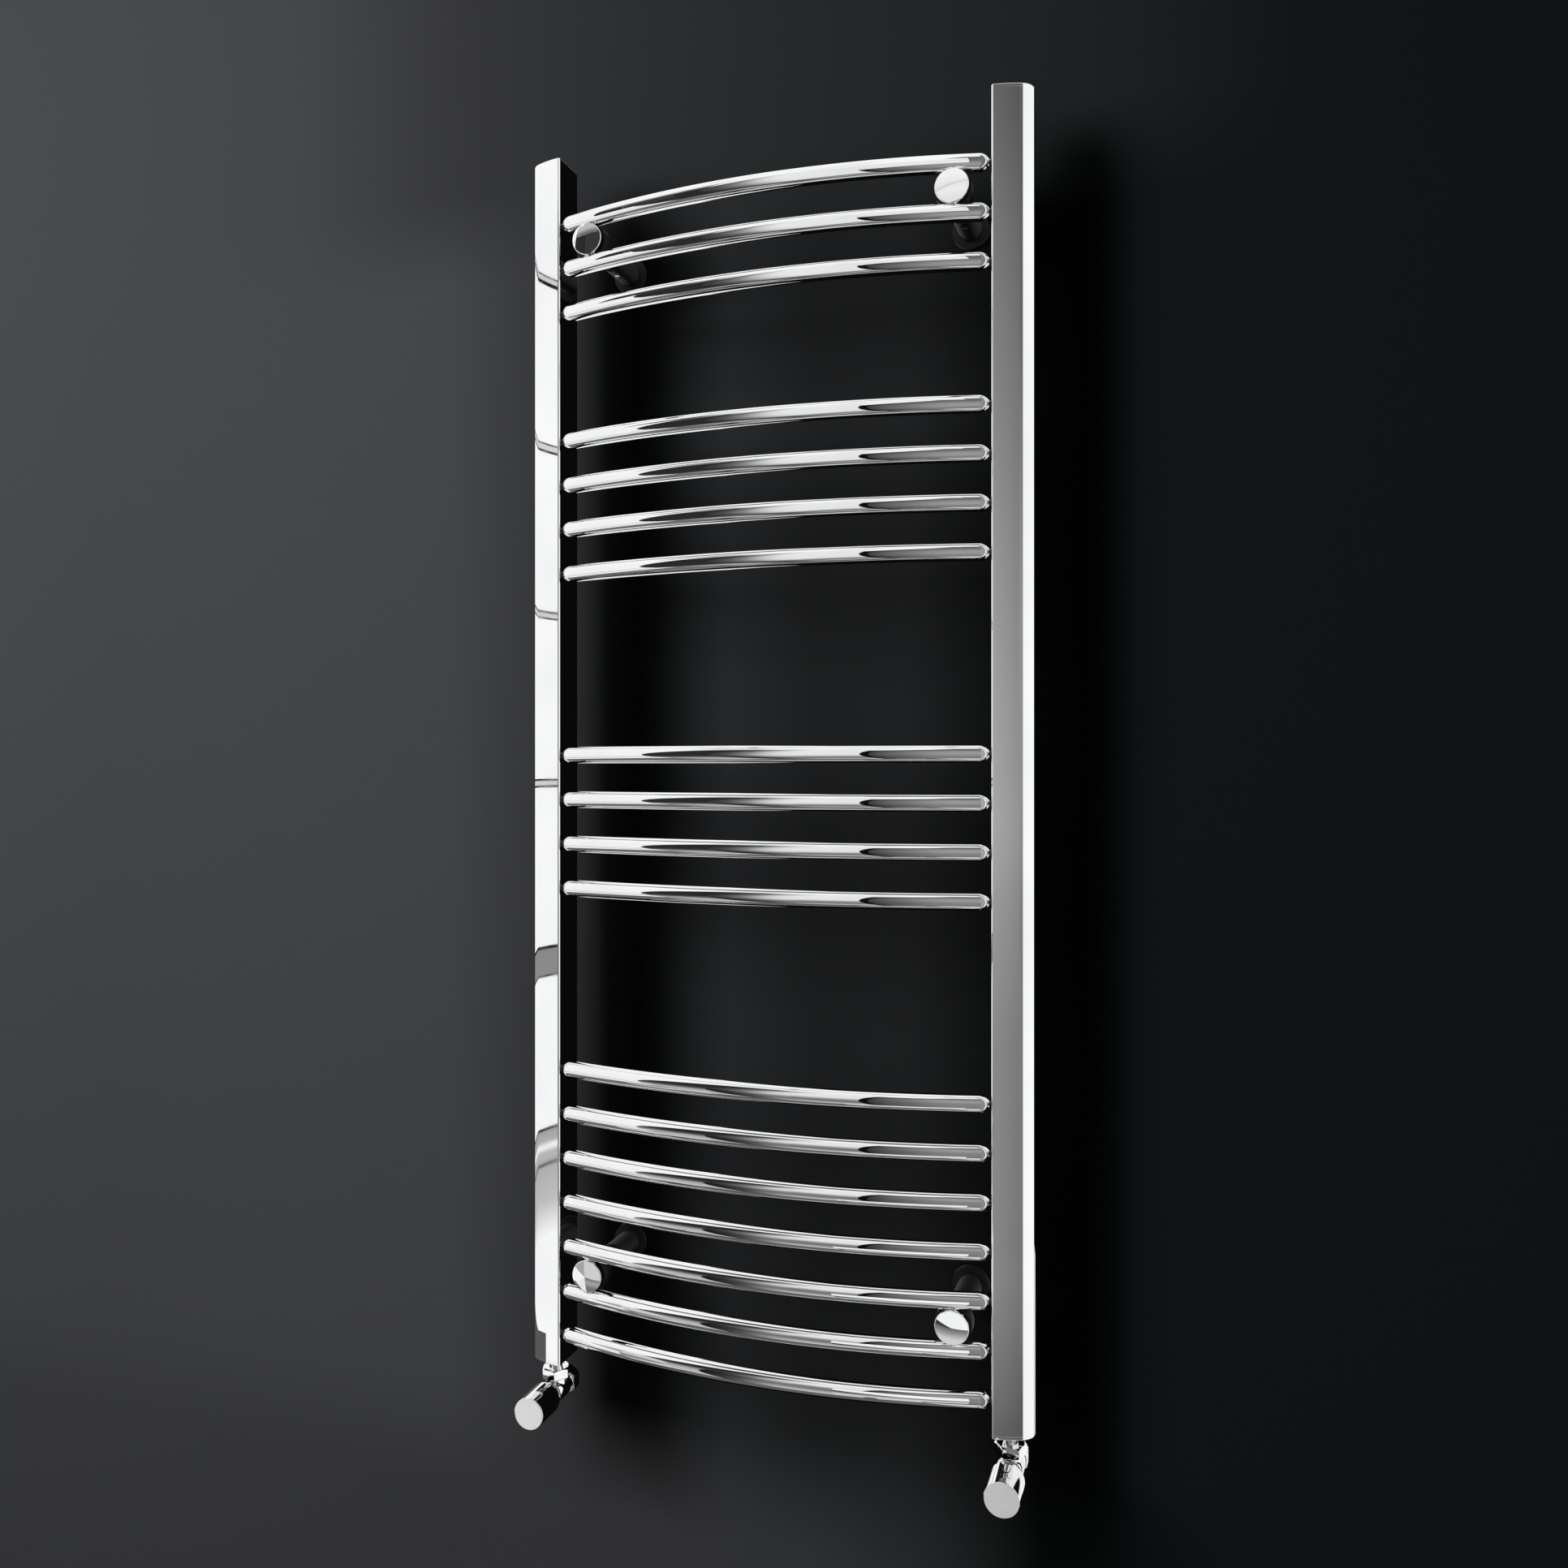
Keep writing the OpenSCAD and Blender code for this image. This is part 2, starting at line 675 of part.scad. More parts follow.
module tail(s) {
    color(CHROME) at_tail(s) difference() {
        union() {
            turned(port_d - 2 * thread_fit, 0, tail_thread);
            translate([0, 0, -nut_drop + 1]) cylinder(d1 = tail_neck_d, d2 = tail_top_d, h = nut_drop - 1);
            turned(tail_neck_d, -FLANGE_LOW, -nut_drop + 1);
            turned(flange_d, -FLANGE_LOW, -FLANGE_TOP);
        }
        translate([0, 0, -FLANGE_LOW - CUT]) cylinder(d = tail_bore_d, h = valve_drop + tail_thread);
    }
}

module union_nut(s) {
    turn = s == "left" ? -nut_turn : nut_turn;
    color(CHROME) at_tail(s) difference() {
        rotate([0, 0, turn]) hexagon(nut_af, -NUT_LOW, -nut_drop);
        turned(union_d + 2 * thread_fit, -NUT_LOW - CUT, -nut_drop - nut_lip);
        turned(tail_neck_d + 2 * thread_fit, -NUT_LOW, -nut_drop + CUT);
    }
}

module union_washers() {
    color(FIBRE) for (s = SIDES) at_tail(s)
        turned(flange_d - 2 * face_gap, -SPIGOT_TOP, -FLANGE_LOW, tail_bore_d);
}

module valve_body(s) {
    color(CHROME) difference() {
        union() {
            at_valve(s) turned(body_d, -body_half, pipe_stop);
            at_valve(s) turned(pipe_thread_d, 0, body_end);
            at_tail(s) turned(union_d, -valve_drop, -SPIGOT_TOP);
        }
        at_tail(s) turned(tail_bore_d, -valve_drop, -SPIGOT_TOP + CUT);
        at_valve(s) {
            turned(bonnet_thread_d, -body_half - CUT, -body_half + bonnet_thread);
            turned(chamber_d, -body_half, seat_at);
            turned(seat_d, 0, seat_at + seat_t + CUT);
            turned(way_d, seat_at + seat_t, body_end);
            turned(pipe_bore_d, pipe_stop, body_end + CUT);
        }
    }
}

module bonnet(s) {
    seal_bore = spindle_d + 2 * run_fit;
    groove_d = spindle_d + 2 * run_fit + 2 * seal_t;
    color(CHROME) at_valve(s) difference() {
        union() {
            turned(bonnet_thread_d - 2 * thread_fit, -body_half, -body_half + bonnet_thread);
            turned(bonnet_d, BONNET_FRONT, -body_half);
            turned(bonnet_neck_d, NECK_FRONT, BONNET_FRONT);
        }
        turned(seal_bore, NECK_FRONT - CUT, 0);
        turned(bonnet_hollow_d, HOLLOW_FRONT, 0);
        turned(groove_d, SEAL_AT - seal_t / 2 - face_gap, SEAL_AT + seal_t / 2 + face_gap);
    }
}

module spindle_seals() {
    middle = (spindle_d + seal_t) / 2 + run_fit;
    color(RUBBER) for (s = SIDES) at_valve(s)
        translate([0, 0, SEAL_AT]) rotate_extrude() translate([middle, 0]) circle(d = seal_t - 2 * run_fit);
}

module spindle(s) {
    front = s == "left" ? HANDLE_SPINDLE : SHIELD_SPINDLE;
    square_len = 6;
    color(BRASS) at_valve(s) difference() {
        union() {
            if (s == "left") turned(spindle_d, front, COLLAR_BACK);
            else {
                turned(spindle_d, front + square_len, COLLAR_BACK);
                translate([-spindle_square / 2, -spindle_square / 2, front])
                    cube([spindle_square, spindle_square, square_len]);
            }
            turned(collar_d, COLLAR_BACK - collar_t, COLLAR_BACK);
        }
        turned(plug_stem_d + 2 * thread_fit, COLLAR_BACK - spindle_thread, COLLAR_BACK + CUT);
    }
}

module plug(s) {
    rubber_t = 1.5;
    color(RUBBER) at_valve(s) turned(plug_d, PLUG_BACK - rubber_t, PLUG_BACK);
    color(BRASS) at_valve(s) {
        turned(plug_d, PLUG_BACK - plug_t, PLUG_BACK - rubber_t);
        turned(plug_stem_d, PLUG_BACK - plug_t - plug_stem, PLUG_BACK - plug_t);
    }
}

module olive(s) {
    middle = pipe_bore_d / 2;
    a = body_end + face_gap;
    b = a + olive_len;
    lead = (olive_d - pipe_bore_d) / 2 - 0.4;
    color(BRASS) at_valve(s) rotate_extrude()
        polygon([
            [middle, a], [middle + 0.4, a], [olive_d / 2, a + lead],
            [olive_d / 2, b - lead], [middle + 0.4, b], [middle, b]
        ]);
}

module pipe_nut(s) {
    end = pipe_nut_at + pipe_nut_len;
    color(CHROME) at_valve(s) difference() {
        rotate([0, 0, 30]) hexagon(pipe_nut_af, pipe_nut_at, end);
        turned(pipe_thread_d + 2 * thread_fit, pipe_nut_at - CUT, end - pipe_lip);
        turned(pipe_bore_d, pipe_nut_at, end + CUT);
    }
}

// ---------- heads ----------

// The round shell that the handle and the lockshield cap share, open to the wall.
module head_shell() {
    outer = head_d / 2;
    rotate_extrude() difference() {
        polygon([
            [0, -head_front], [outer - head_bevel, -head_front], [outer, -head_front + head_bevel],
            [outer, HEAD_BACK], [0, HEAD_BACK]
        ]);
        translate([0, -head_front + head_face]) square([outer - head_wall, head_len]);
    }
}

module left_handle() {
    hub_end = -head_front + head_face + hub_len;
    color(CHROME) at_valve("left") difference() {
        union() {
            head_shell();
            turned(hub_d, -head_front + head_face, hub_end);
        }
        turned(spindle_d + 2 * thread_fit, HANDLE_SPINDLE - CUT, hub_end + CUT);
        handle_screw_way() translate([0, 0, -CUT])
            cylinder(d = head_screw_d + 2 * thread_fit, h = head_d);
    }
}

// Places the handle's grub screw below the hub, drawn from the spindle outwards.
module handle_screw_way() {
    translate([0, spindle_d / 2 + face_gap, HEAD_SCREW_AT]) rotate([-90, 0, 0]) children();
}

module left_handle_screw() {
    color(SATIN) at_valve("left") handle_screw_way() difference() {
        cylinder(d = head_screw_d, h = head_screw_len);
        translate([0, 0, head_screw_len - head_screw_d / 2])
            cylinder(d = head_screw_d / 2, h = head_screw_d, $fn = 6);
    }
}

module right_shield_cap() {
    color(CHROME) at_valve("right") {
        head_shell();
        turned(sleeve_d, -head_front + head_face, SLEEVE_BACK, bonnet_neck_d + 2 * run_fit);
    }
}

// ---------- the nodes ----------

for (s = SIDES) {
    on_side(s) collector_right();
    on_side(s) top_plate_right();
    on_side(s) bottom_plate_right();
    tail(s);
    union_nut(s);
    valve_body(s);
    bonnet(s);
    spindle(s);
    plug(s);
    olive(s);
    pipe_nut(s);
}
for (i = [0:BARS - 1]) bar(i);
for (p = PLACES) {
    saddle(p);
    cap(p);
}
clamp_studs();
wall_cups();
cup_grub_screws();
vent_body();
bleed_screw();
blanking_plug();
union_washers();
spindle_seals();
left_handle();
left_handle_screw();
right_shield_cap();
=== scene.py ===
import json
import math

import bmesh
import bpy
import numpy as np
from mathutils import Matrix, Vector

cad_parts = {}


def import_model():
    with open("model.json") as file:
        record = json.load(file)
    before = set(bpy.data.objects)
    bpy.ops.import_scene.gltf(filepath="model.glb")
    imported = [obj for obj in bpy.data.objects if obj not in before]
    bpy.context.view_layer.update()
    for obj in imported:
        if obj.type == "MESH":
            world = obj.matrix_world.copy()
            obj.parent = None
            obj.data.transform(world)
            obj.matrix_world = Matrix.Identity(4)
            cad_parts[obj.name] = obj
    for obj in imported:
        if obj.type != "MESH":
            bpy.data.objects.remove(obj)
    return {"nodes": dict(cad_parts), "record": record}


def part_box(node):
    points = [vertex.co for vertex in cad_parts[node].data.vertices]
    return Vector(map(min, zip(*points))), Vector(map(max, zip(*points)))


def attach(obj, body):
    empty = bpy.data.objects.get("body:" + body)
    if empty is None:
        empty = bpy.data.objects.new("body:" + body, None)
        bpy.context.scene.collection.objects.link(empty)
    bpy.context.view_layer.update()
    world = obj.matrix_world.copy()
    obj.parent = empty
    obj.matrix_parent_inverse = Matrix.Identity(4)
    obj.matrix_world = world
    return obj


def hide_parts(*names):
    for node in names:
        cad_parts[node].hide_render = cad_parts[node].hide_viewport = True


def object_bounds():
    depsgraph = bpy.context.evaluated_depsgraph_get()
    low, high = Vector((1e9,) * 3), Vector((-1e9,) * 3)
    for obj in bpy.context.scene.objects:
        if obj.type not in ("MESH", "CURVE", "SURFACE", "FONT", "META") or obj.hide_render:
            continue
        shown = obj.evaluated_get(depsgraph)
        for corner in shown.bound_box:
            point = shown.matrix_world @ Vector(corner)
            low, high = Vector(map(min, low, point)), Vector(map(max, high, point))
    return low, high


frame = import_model()
CAD_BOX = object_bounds()
NODES = frame["nodes"]
SLOTS = {row["node"]: row["material_slot"] for row in frame["record"]["subparts"]}
BODY = {n: b for b, ns in frame["record"]["behaviour"]["bodies"].items() for n in ns}
SIDES = ("left", "right")
# The scene is in metres. Shapes of the part are worked out in millimetres and turned into metres by MM.
MM = 0.001


def middle(node):
    lo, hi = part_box(node)
    return (lo + hi) / 2


# ---------- camera ----------

def make_camera():
    """The photo's view: level, from before the rail and to its right, turned to the left.
    Returns the place that it looks from."""
    aside, before, below = 0.3902, 1.1158, 0.0045
    turn = math.radians(18.313)
    data = bpy.data.cameras.new("camera")
    data.sensor_width = 36
    data.lens = 28.914
    data.shift_y = -0.0110
    data.clip_end = 60
    camera = bpy.data.objects.new("camera", data)
    bpy.context.scene.collection.objects.link(camera)
    lo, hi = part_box("collector_left")
    camera.location = (aside, lo.y - before, (lo.z + hi.z) / 2 - below)
    camera.rotation_euler = (math.radians(90), 0, turn)
    bpy.context.scene.camera = camera
    return camera.location.copy()


EYE = make_camera()


# ---------- materials ----------

def new_material(name):
    material = bpy.data.materials.new(name)
    material.use_nodes = True
    tree = material.node_tree
    shader = next(n for n in tree.nodes if n.type == "BSDF_PRINCIPLED")
    return material, tree, shader


def noise(tree, scale, detail):
    """Noise that is laid through the object's own space."""
    where = tree.nodes.new("ShaderNodeTexCoord")
    texture = tree.nodes.new("ShaderNodeTexNoise")
    texture.inputs["Scale"].default_value = scale
    texture.inputs["Detail"].default_value = detail
    tree.links.new(where.outputs["Object"], texture.inputs["Vector"])
    return texture.outputs["Fac"]


def ramp(tree, factor, stops):
    """Turns a factor into tones by (factor, tone) stops. A tone is one number, or red, green and blue."""
    node = tree.nodes.new("ShaderNodeValToRGB")
    while len(node.color_ramp.elements) < len(stops):
        node.color_ramp.elements.new(0.5)
    for element, (at, tone) in zip(node.color_ramp.elements, stops):
        element.position = at
        element.color = (*tone, 1) if hasattr(tone, "__len__") else (tone, tone, tone, 1)
    tree.links.new(factor, node.inputs["Fac"])
    return node.outputs["Color"]


def bump(tree, shader, height, strength, distance):
    node = tree.nodes.new("ShaderNodeBump")
    node.inputs["Strength"].default_value = strength
    node.inputs["Distance"].default_value = distance
    tree.links.new(height, node.inputs["Height"])
    tree.links.new(node.outputs["Normal"], shader.inputs["Normal"])


def finish(name, dark, light, rough, grain, height, metallic=1.0, specular=0.5, spots=40):
    """A finish with soft spots of a darker and a lighter colour, and a fine grain in its polish and bump.
    grain and spots are noise scales, rough is a range, and height is the grain's depth in metres."""
    material, tree, shader = new_material(name)
    shader.inputs["Metallic"].default_value = metallic
    shader.inputs["Specular IOR Level"].default_value = specular
    colour = ramp(tree, noise(tree, spots, 4), [(0.35, dark), (0.65, light)])
    tree.links.new(colour, shader.inputs["Base Color"])
    fine = noise(tree, grain, 5)
    polish = ramp(tree, fine, [(0.3, rough[0]), (0.7, rough[1])])
    tree.links.new(polish, shader.inputs["Roughness"])
    bump(tree, shader, fine, 0.35, height)
    return material


CHROME = finish("chrome", (0.80, 0.805, 0.815), (0.86, 0.865, 0.87), (0.012, 0.035), 60, 0.000004, spots=9)
# The bars' necks, near black as painted shade for the shadow in the narrow gap at each bar's end.
NECK_PAINTED_SHADE = finish(
    "neck_painted_shade", (0.030, 0.030, 0.031), (0.050, 0.050, 0.052), (0.25, 0.40), 900, 0.00001)
FINISH = {
    "chrome": CHROME,
    "chromed_brass": finish(
        "chromed_brass", (0.77, 0.77, 0.775), (0.84, 0.84, 0.84), (0.02, 0.06), 260, 0.000006),
    "plated_steel": finish(
        "plated_steel", (0.52, 0.53, 0.54), (0.66, 0.67, 0.68), (0.22, 0.38), 900, 0.00003),
    "brass": finish(
        "brass", (0.62, 0.43, 0.16), (0.78, 0.58, 0.26), (0.18, 0.34), 700, 0.00002),
    # Near black: partly the nylon's own colour, partly painted shade, so the parts behind the caps stay as
    # dark as the shadow there.
    "black_nylon": finish(
        "black_nylon", (0.003, 0.003, 0.0032), (0.006, 0.006, 0.0063), (0.42, 0.6), 900, 0.00003,
        metallic=0.0, specular=0.15),
    "rubber": finish(
        "rubber", (0.016, 0.016, 0.017), (0.03, 0.03, 0.031), (0.55, 0.75), 1400, 0.00004, metallic=0.0),
    "fibre": finish(
        "fibre", (0.20, 0.07, 0.045), (0.34, 0.12, 0.07), (0.7, 0.9), 1600, 0.00006,
        metallic=0.0, spots=500),
}
for name, node in NODES.items():
    node.data.materials.clear()
    node.data.materials.append(FINISH[SLOTS[name]])


# ---------- mesh helpers ----------

class Skin:
    """Collects smooth patches with exact normals. Patches that meet at an edge share no points."""

    def __init__(self):
        self.points, self.normals, self.faces, self.coats = [], [], [], []

    def patch(self, points, normals, close=False, flip=False, coat=0):
        """points and normals are arrays of rows by columns by 3. coat picks one of the mesh's materials."""
        points, normals = np.asarray(points, float), np.asarray(normals, float)
        rows, cols = points.shape[:2]
        first = len(self.points)
        self.points.extend(points.reshape(-1, 3).tolist())
        self.normals.extend(normals.reshape(-1, 3).tolist())
        for i in range(rows - 1):
            for j in range(cols if close else cols - 1):
                a, b = first + i * cols + j, first + i * cols + (j + 1) % cols
                quad = (a, b, b + cols, a + cols)
                self.faces.append(quad[::-1] if flip else quad)
                self.coats.append(coat)

    def fan(self, ring, normal, flip=False):
        """Closes a flat ring with triangles from its middle."""
        ring = np.asarray(ring, float)
        first = len(self.points)
        self.points.append(ring.mean(0).tolist())
        self.points.extend(ring.tolist())
        self.normals.extend([list(normal)] * (len(ring) + 1))
        for j in range(len(ring)):
            face = (first, first + 1 + j, first + 1 + (j + 1) % len(ring))
            self.faces.append(face[::-1] if flip else face)
            self.coats.append(0)

    def mesh(self, name, *materials):
        mesh = bpy.data.meshes.new(name)
        mesh.from_pydata(self.points, [], self.faces)
        for material in materials:
            mesh.materials.append(material)
        mesh.polygons.foreach_set("material_index", self.coats)
        mesh.polygons.foreach_set("use_smooth", [True] * len(mesh.polygons))
        normals = np.asarray(self.normals)
        normals /= np.maximum(np.linalg.norm(normals, axis=1, keepdims=True), 1e-12)
        mesh.normals_split_custom_set_from_vertices(normals.tolist())
        mesh.update()
        return mesh


def piece(name, mesh, node, *others, height=0.0):
    """A visible object that stands for a node, and for others with it. It rides on the node's body and, where
    the mesh has no material yet, takes the finish of the node's slot."""
    o = bpy.data.objects.new(name, mesh)
    bpy.context.scene.collection.objects.link(o)
    o.location.z = height
    if not mesh.materials:
        mesh.materials.append(FINISH[SLOTS[node]])
    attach(o, BODY[node])
    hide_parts(node, *others)
    return o


def profile(corners, steps=7):
    """Turns (radius, along, fillet) corners into runs of (radius, along, normal r, normal a).
    Straight runs and fillets each have exact normals, with the outside on the right."""
    runs = []
    points = [Vector(c[:2]) for c in corners]
    ends = []
    for i, (p, c) in enumerate(zip(points, corners)):
        if i in (0, len(points) - 1) or c[2] <= 0:
            ends.append((p, p, None))
            continue
        a, b = (points[i - 1] - p).normalized(), (points[i + 1] - p).normalized()
        half = math.acos(max(-1, min(1, a.dot(b)))) / 2
        back = c[2] / math.tan(half)
        centre = p + (a + b).normalized() * (c[2] / math.sin(half))
        ends.append((p + a * back, p + b * back, centre))
    for i in range(len(points) - 1):
        a, b = ends[i][1], ends[i + 1][0]
        way = (b - a).normalized() if (b - a).length > 1e-9 else (points[i + 1] - points[i]).normalized()
        n = Vector((way.y, -way.x))
        runs.append([(a.x, a.y, n.x, n.y), (b.x, b.y, n.x, n.y)])
        start, _, centre = ends[i + 1]
        if centre is not None:
            # The fillet turns from this run's normal to the next one's. It is convex or hollow.
            way2 = (points[i + 2] - points[i + 1]).normalized()
            n2 = Vector((way2.y, -way2.x))
            turn = math.atan2(n.x * n2.y - n.y * n2.x, n.dot(n2))
            convex = 1 if (start - centre).dot(n) > 0 else -1
            radius = (start - centre).length
            run = []
            for k in range(steps + 1):
                t = turn * k / steps
                m = Vector((n.x * math.cos(t) - n.y * math.sin(t), n.x * math.sin(t) + n.y * math.cos(t)))
                at = centre + m * radius * convex
                run.append((at.x, at.y, m.x, m.y))
            runs.append(run)
    return runs


def revolve(skin, runs, origin, segments=96):
    """Turns runs of a profile about an axis that goes from origin to the wall, along in millimetres."""
    origin, axis = Vector(origin), Vector((0, 1, 0))
    u = axis.orthogonal().normalized()
    v = axis.cross(u)
    turn = np.linspace(0, 2 * math.pi, segments, endpoint=False)
    out = np.outer(np.cos(turn), np.array(u)) + np.outer(np.sin(turn), np.array(v))
    for run in runs:
        rows = [np.array(origin) + MM * (p[0] * out + p[1] * np.array(axis)) for p in run]
        normals = [p[2] * out + p[3] * np.array(axis) for p in run]
        skin.patch(rows, normals, close=True)


def dressed(node, width, segments=2):
    """A copy of a CAD node with its sharp edges rounded by a width in millimetres, standing for that node."""
    weld, flat_angle, sharp_angle, smooth_angle = 2e-6, math.radians(0.3), math.radians(28), math.radians(30)
    mesh = NODES[node].data.copy()
    mesh.name = "dressed_" + node
    bm = bmesh.new()
    bm.from_mesh(mesh)
    bmesh.ops.remove_doubles(bm, verts=bm.verts, dist=weld)
    bmesh.ops.dissolve_limit(bm, angle_limit=flat_angle, verts=bm.verts, edges=bm.edges)
    edges = [e for e in bm.edges if len(e.link_faces) == 2 and e.calc_face_angle(0) > sharp_angle]
    bmesh.ops.bevel(bm, geom=edges, offset=width * MM, segments=segments, profile=0.5, affect="EDGES",
                    clamp_overlap=True, harden_normals=False)
    bmesh.ops.triangulate(bm, faces=[f for f in bm.faces if len(f.verts) > 4])
    bm.normal_update()
    bm.to_mesh(mesh)
    bm.free()
    mesh.polygons.foreach_set("use_smooth", [True] * len(mesh.polygons))
    mesh.set_sharp_from_angle(angle=smooth_angle)
    mesh.materials.clear()
    return piece(node + "_rounded", mesh, node)


# ---------- collectors ----------

# The D section, in millimetres: its depth, the wide front and back curves, the outer nose and the corners.
DEPTH, FRONT_R, NOSE_R, CORNER_R = 40.0, 107.0, 14.3, 1.8
# An end plate's thickness, the rounding of its outer edge, and the brazed line where it sits on the tube.
PLATE, EDGE, SEAM, SEAM_TILT = 3.0, 0.8, 0.12, 0.5
# The boss behind a collector, and the opening in it, with how far each is drawn into the collector.
BOSS_R, BOSS_DEPTH, PORT_R, PORT_DEPTH = 12.4, 8, 10.55, 6


def arc(centre, radius, start, end, steps, first=0):
    """Points along an arc, each with the angle of its normal. With first=1 the start is left out."""
    turns = [start + (end - start) * k / steps for k in range(first, steps + 1)]
    return [(centre + radius * Vector((math.cos(t), math.sin(t))), t) for t in turns]


def angle(v):
    return math.atan2(v.y, v.x)


def section():
    """The D section as (outwards, to the wall) points with normals, going round once.
    The flat side and the front curve would meet at 0, 0 if their corner were sharp."""
    lo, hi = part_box("collector_right")
    nose = Vector(((hi.x - lo.x) / MM - NOSE_R, DEPTH / 2))
    # The front curve goes through 0, 0 and runs into the nose, which gives its centre, and so the corner's.
    gap = nose.length
    along = (FRONT_R ** 2 - (FRONT_R - NOSE_R) ** 2 + gap ** 2) / (2 * gap)
    aside = math.sqrt(FRONT_R ** 2 - along ** 2)
    front = Vector(((along * nose.x - aside * nose.y) / gap, (along * nose.y + aside * nose.x) / gap))
    down = math.sqrt((FRONT_R - CORNER_R) ** 2 - (CORNER_R - front.x) ** 2)
    corner = Vector((CORNER_R, front.y - down))
    to_front, to_nose = angle(corner - front), angle(nose - front)
    half = (arc(corner, CORNER_R, -math.pi, to_front, 9) + arc(front, FRONT_R, to_front, to_nose, 24, 1)
            + arc(nose, NOSE_R, to_nose, 0, 24, 1))
    points = [(p.x, p.y, math.cos(t), math.sin(t)) for p, t in half]
    back = [(p[0], DEPTH - p[1], p[2], -p[3]) for p in reversed(points[:-1])]
    return points + back


def collector(side):
    """A collector with its two end plates as one skin, and the boss behind it."""
    node, out = "collector_" + side, -1 if side == "left" else 1
    lo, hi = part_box(node)
    inner = lo.x if out > 0 else hi.x
    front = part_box("top_plate_" + side)[0].y
    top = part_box("top_plate_" + side)[1].z
    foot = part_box("bottom_plate_" + side)[0].z
    ring = section()
    outline = np.array([[inner + out * p[0] * MM, front + p[1] * MM] for p in ring])
    outward = np.array([[out * p[2], p[3]] for p in ring])

    def row(z, inset, tilt):
        """One level of the skin: its height, how far it lies inside the outline, and its normals' tilt."""
        points = np.column_stack([outline - outward * inset * MM, np.full(len(ring), z)])
        normals = np.column_stack([outward * math.cos(tilt), np.full(len(ring), math.sin(tilt))])
        return points, normals

    def seam(z):
        """The levels of a fine brazed line."""
        low, high = z - SEAM * MM, z + SEAM * MM
        return [(low, 0, 0), (z, SEAM / 2, -SEAM_TILT), (z, SEAM / 2, SEAM_TILT), (high, 0, 0)]

    skin = Skin()
    for end, way in ((top, 1), (foot, -1)):
        rows = [row(end - way * EDGE * MM * (1 - math.sin(t)), EDGE * (1 - math.cos(t)), way * t)
                for t in np.linspace(0, math.pi / 2, 7)]
        skin.patch([r[0] for r in rows], [r[1] for r in rows], close=True, flip=(out * way < 0))
        skin.fan(rows[-1][0], (0, 0, way), flip=(out * way < 0))
    bands = 12
    levels = [(foot + EDGE * MM, 0, 0)] + seam(foot + PLATE * MM)
    levels += [(foot + (top - foot) * k / bands, 0, 0) for k in range(1, bands)]
    levels += seam(top - PLATE * MM) + [(top - EDGE * MM, 0, 0)]
    rows = [row(*level) for level in levels]
    skin.patch([r[0] for r in rows], [r[1] for r in rows], close=True, flip=(out < 0))
    # The air vent or the blanking plug screws into the boss, whose end is at 0.
    port = middle("vent_body" if side == "left" else "blanking_plug")
    boss = profile([(BOSS_R, -BOSS_DEPTH, 0), (BOSS_R, 0, 0.4), (PORT_R, 0, 0.2), (PORT_R, -PORT_DEPTH, 0)])
    revolve(skin, boss, (port.x, hi.y, port.z), 72)
    return piece(node + "_skin", skin.mesh(node + "_skin"), node, "top_plate_" + side, "bottom_plate_" + side)


for side in SIDES:
    collector(side)


# ---------- bars ----------

# In millimetres: the tube, the neck and its root, and the distance from the collector where the taper and
# the rounded tip have their centres. A root sinks a little into the collector.
TUBE_R, NECK_R, ROOT_R, SINK = 8.0, 2.75, 0.9, 0.05
TAPER_R, TAPER_AT, TIP_R, TIP_AT = 11.0, 12.0, 1.0, 4.0
# A bar's end behind the collectors' front, its straight end, and how far the bar bows to the room.
INSET, STRAIGHT, BOW = 8.0, 20.0, 28.0


def bar_end():
    """A bar's root, neck, and tip with taper, as profile runs from the collector outwards."""
    def curve(centre, radius, turns):
        return [(centre.x + radius * math.sin(t), centre.y - radius * math.cos(t), math.sin(t), -math.cos(t))
                for t in turns]

    taper = Vector((TUBE_R - TAPER_R, TAPER_AT))
    tip = Vector((taper.x + math.sqrt((TAPER_R - TIP_R) ** 2 - (TAPER_AT - TIP_AT) ** 2), TIP_AT))
    from_neck = math.asin((NECK_R - tip.x) / TIP_R)
    to_taper = math.pi / 2 - math.atan2(taper.y - tip.y, tip.x - taper.x)
    root = [(NECK_R + ROOT_R * (1 - math.sin(t)), ROOT_R * (1 - math.cos(t)) - SINK, math.sin(t), math.cos(t))
            for t in np.linspace(0.2, math.pi / 2, 6)]
    neck = [(NECK_R, ROOT_R - 2 * SINK, 1, 0), (NECK_R, tip.y - TIP_R * math.cos(from_neck), 1, 0)]
    end = (curve(tip, TIP_R, np.linspace(from_neck, to_taper, 18))
           + curve(taper, TAPER_R, np.linspace(to_taper, math.pi / 2, 20)[1:])
           + [(TUBE_R, STRAIGHT * 0.9, 1, 0), (TUBE_R, STRAIGHT, 1, 0)])
    return root, neck, end


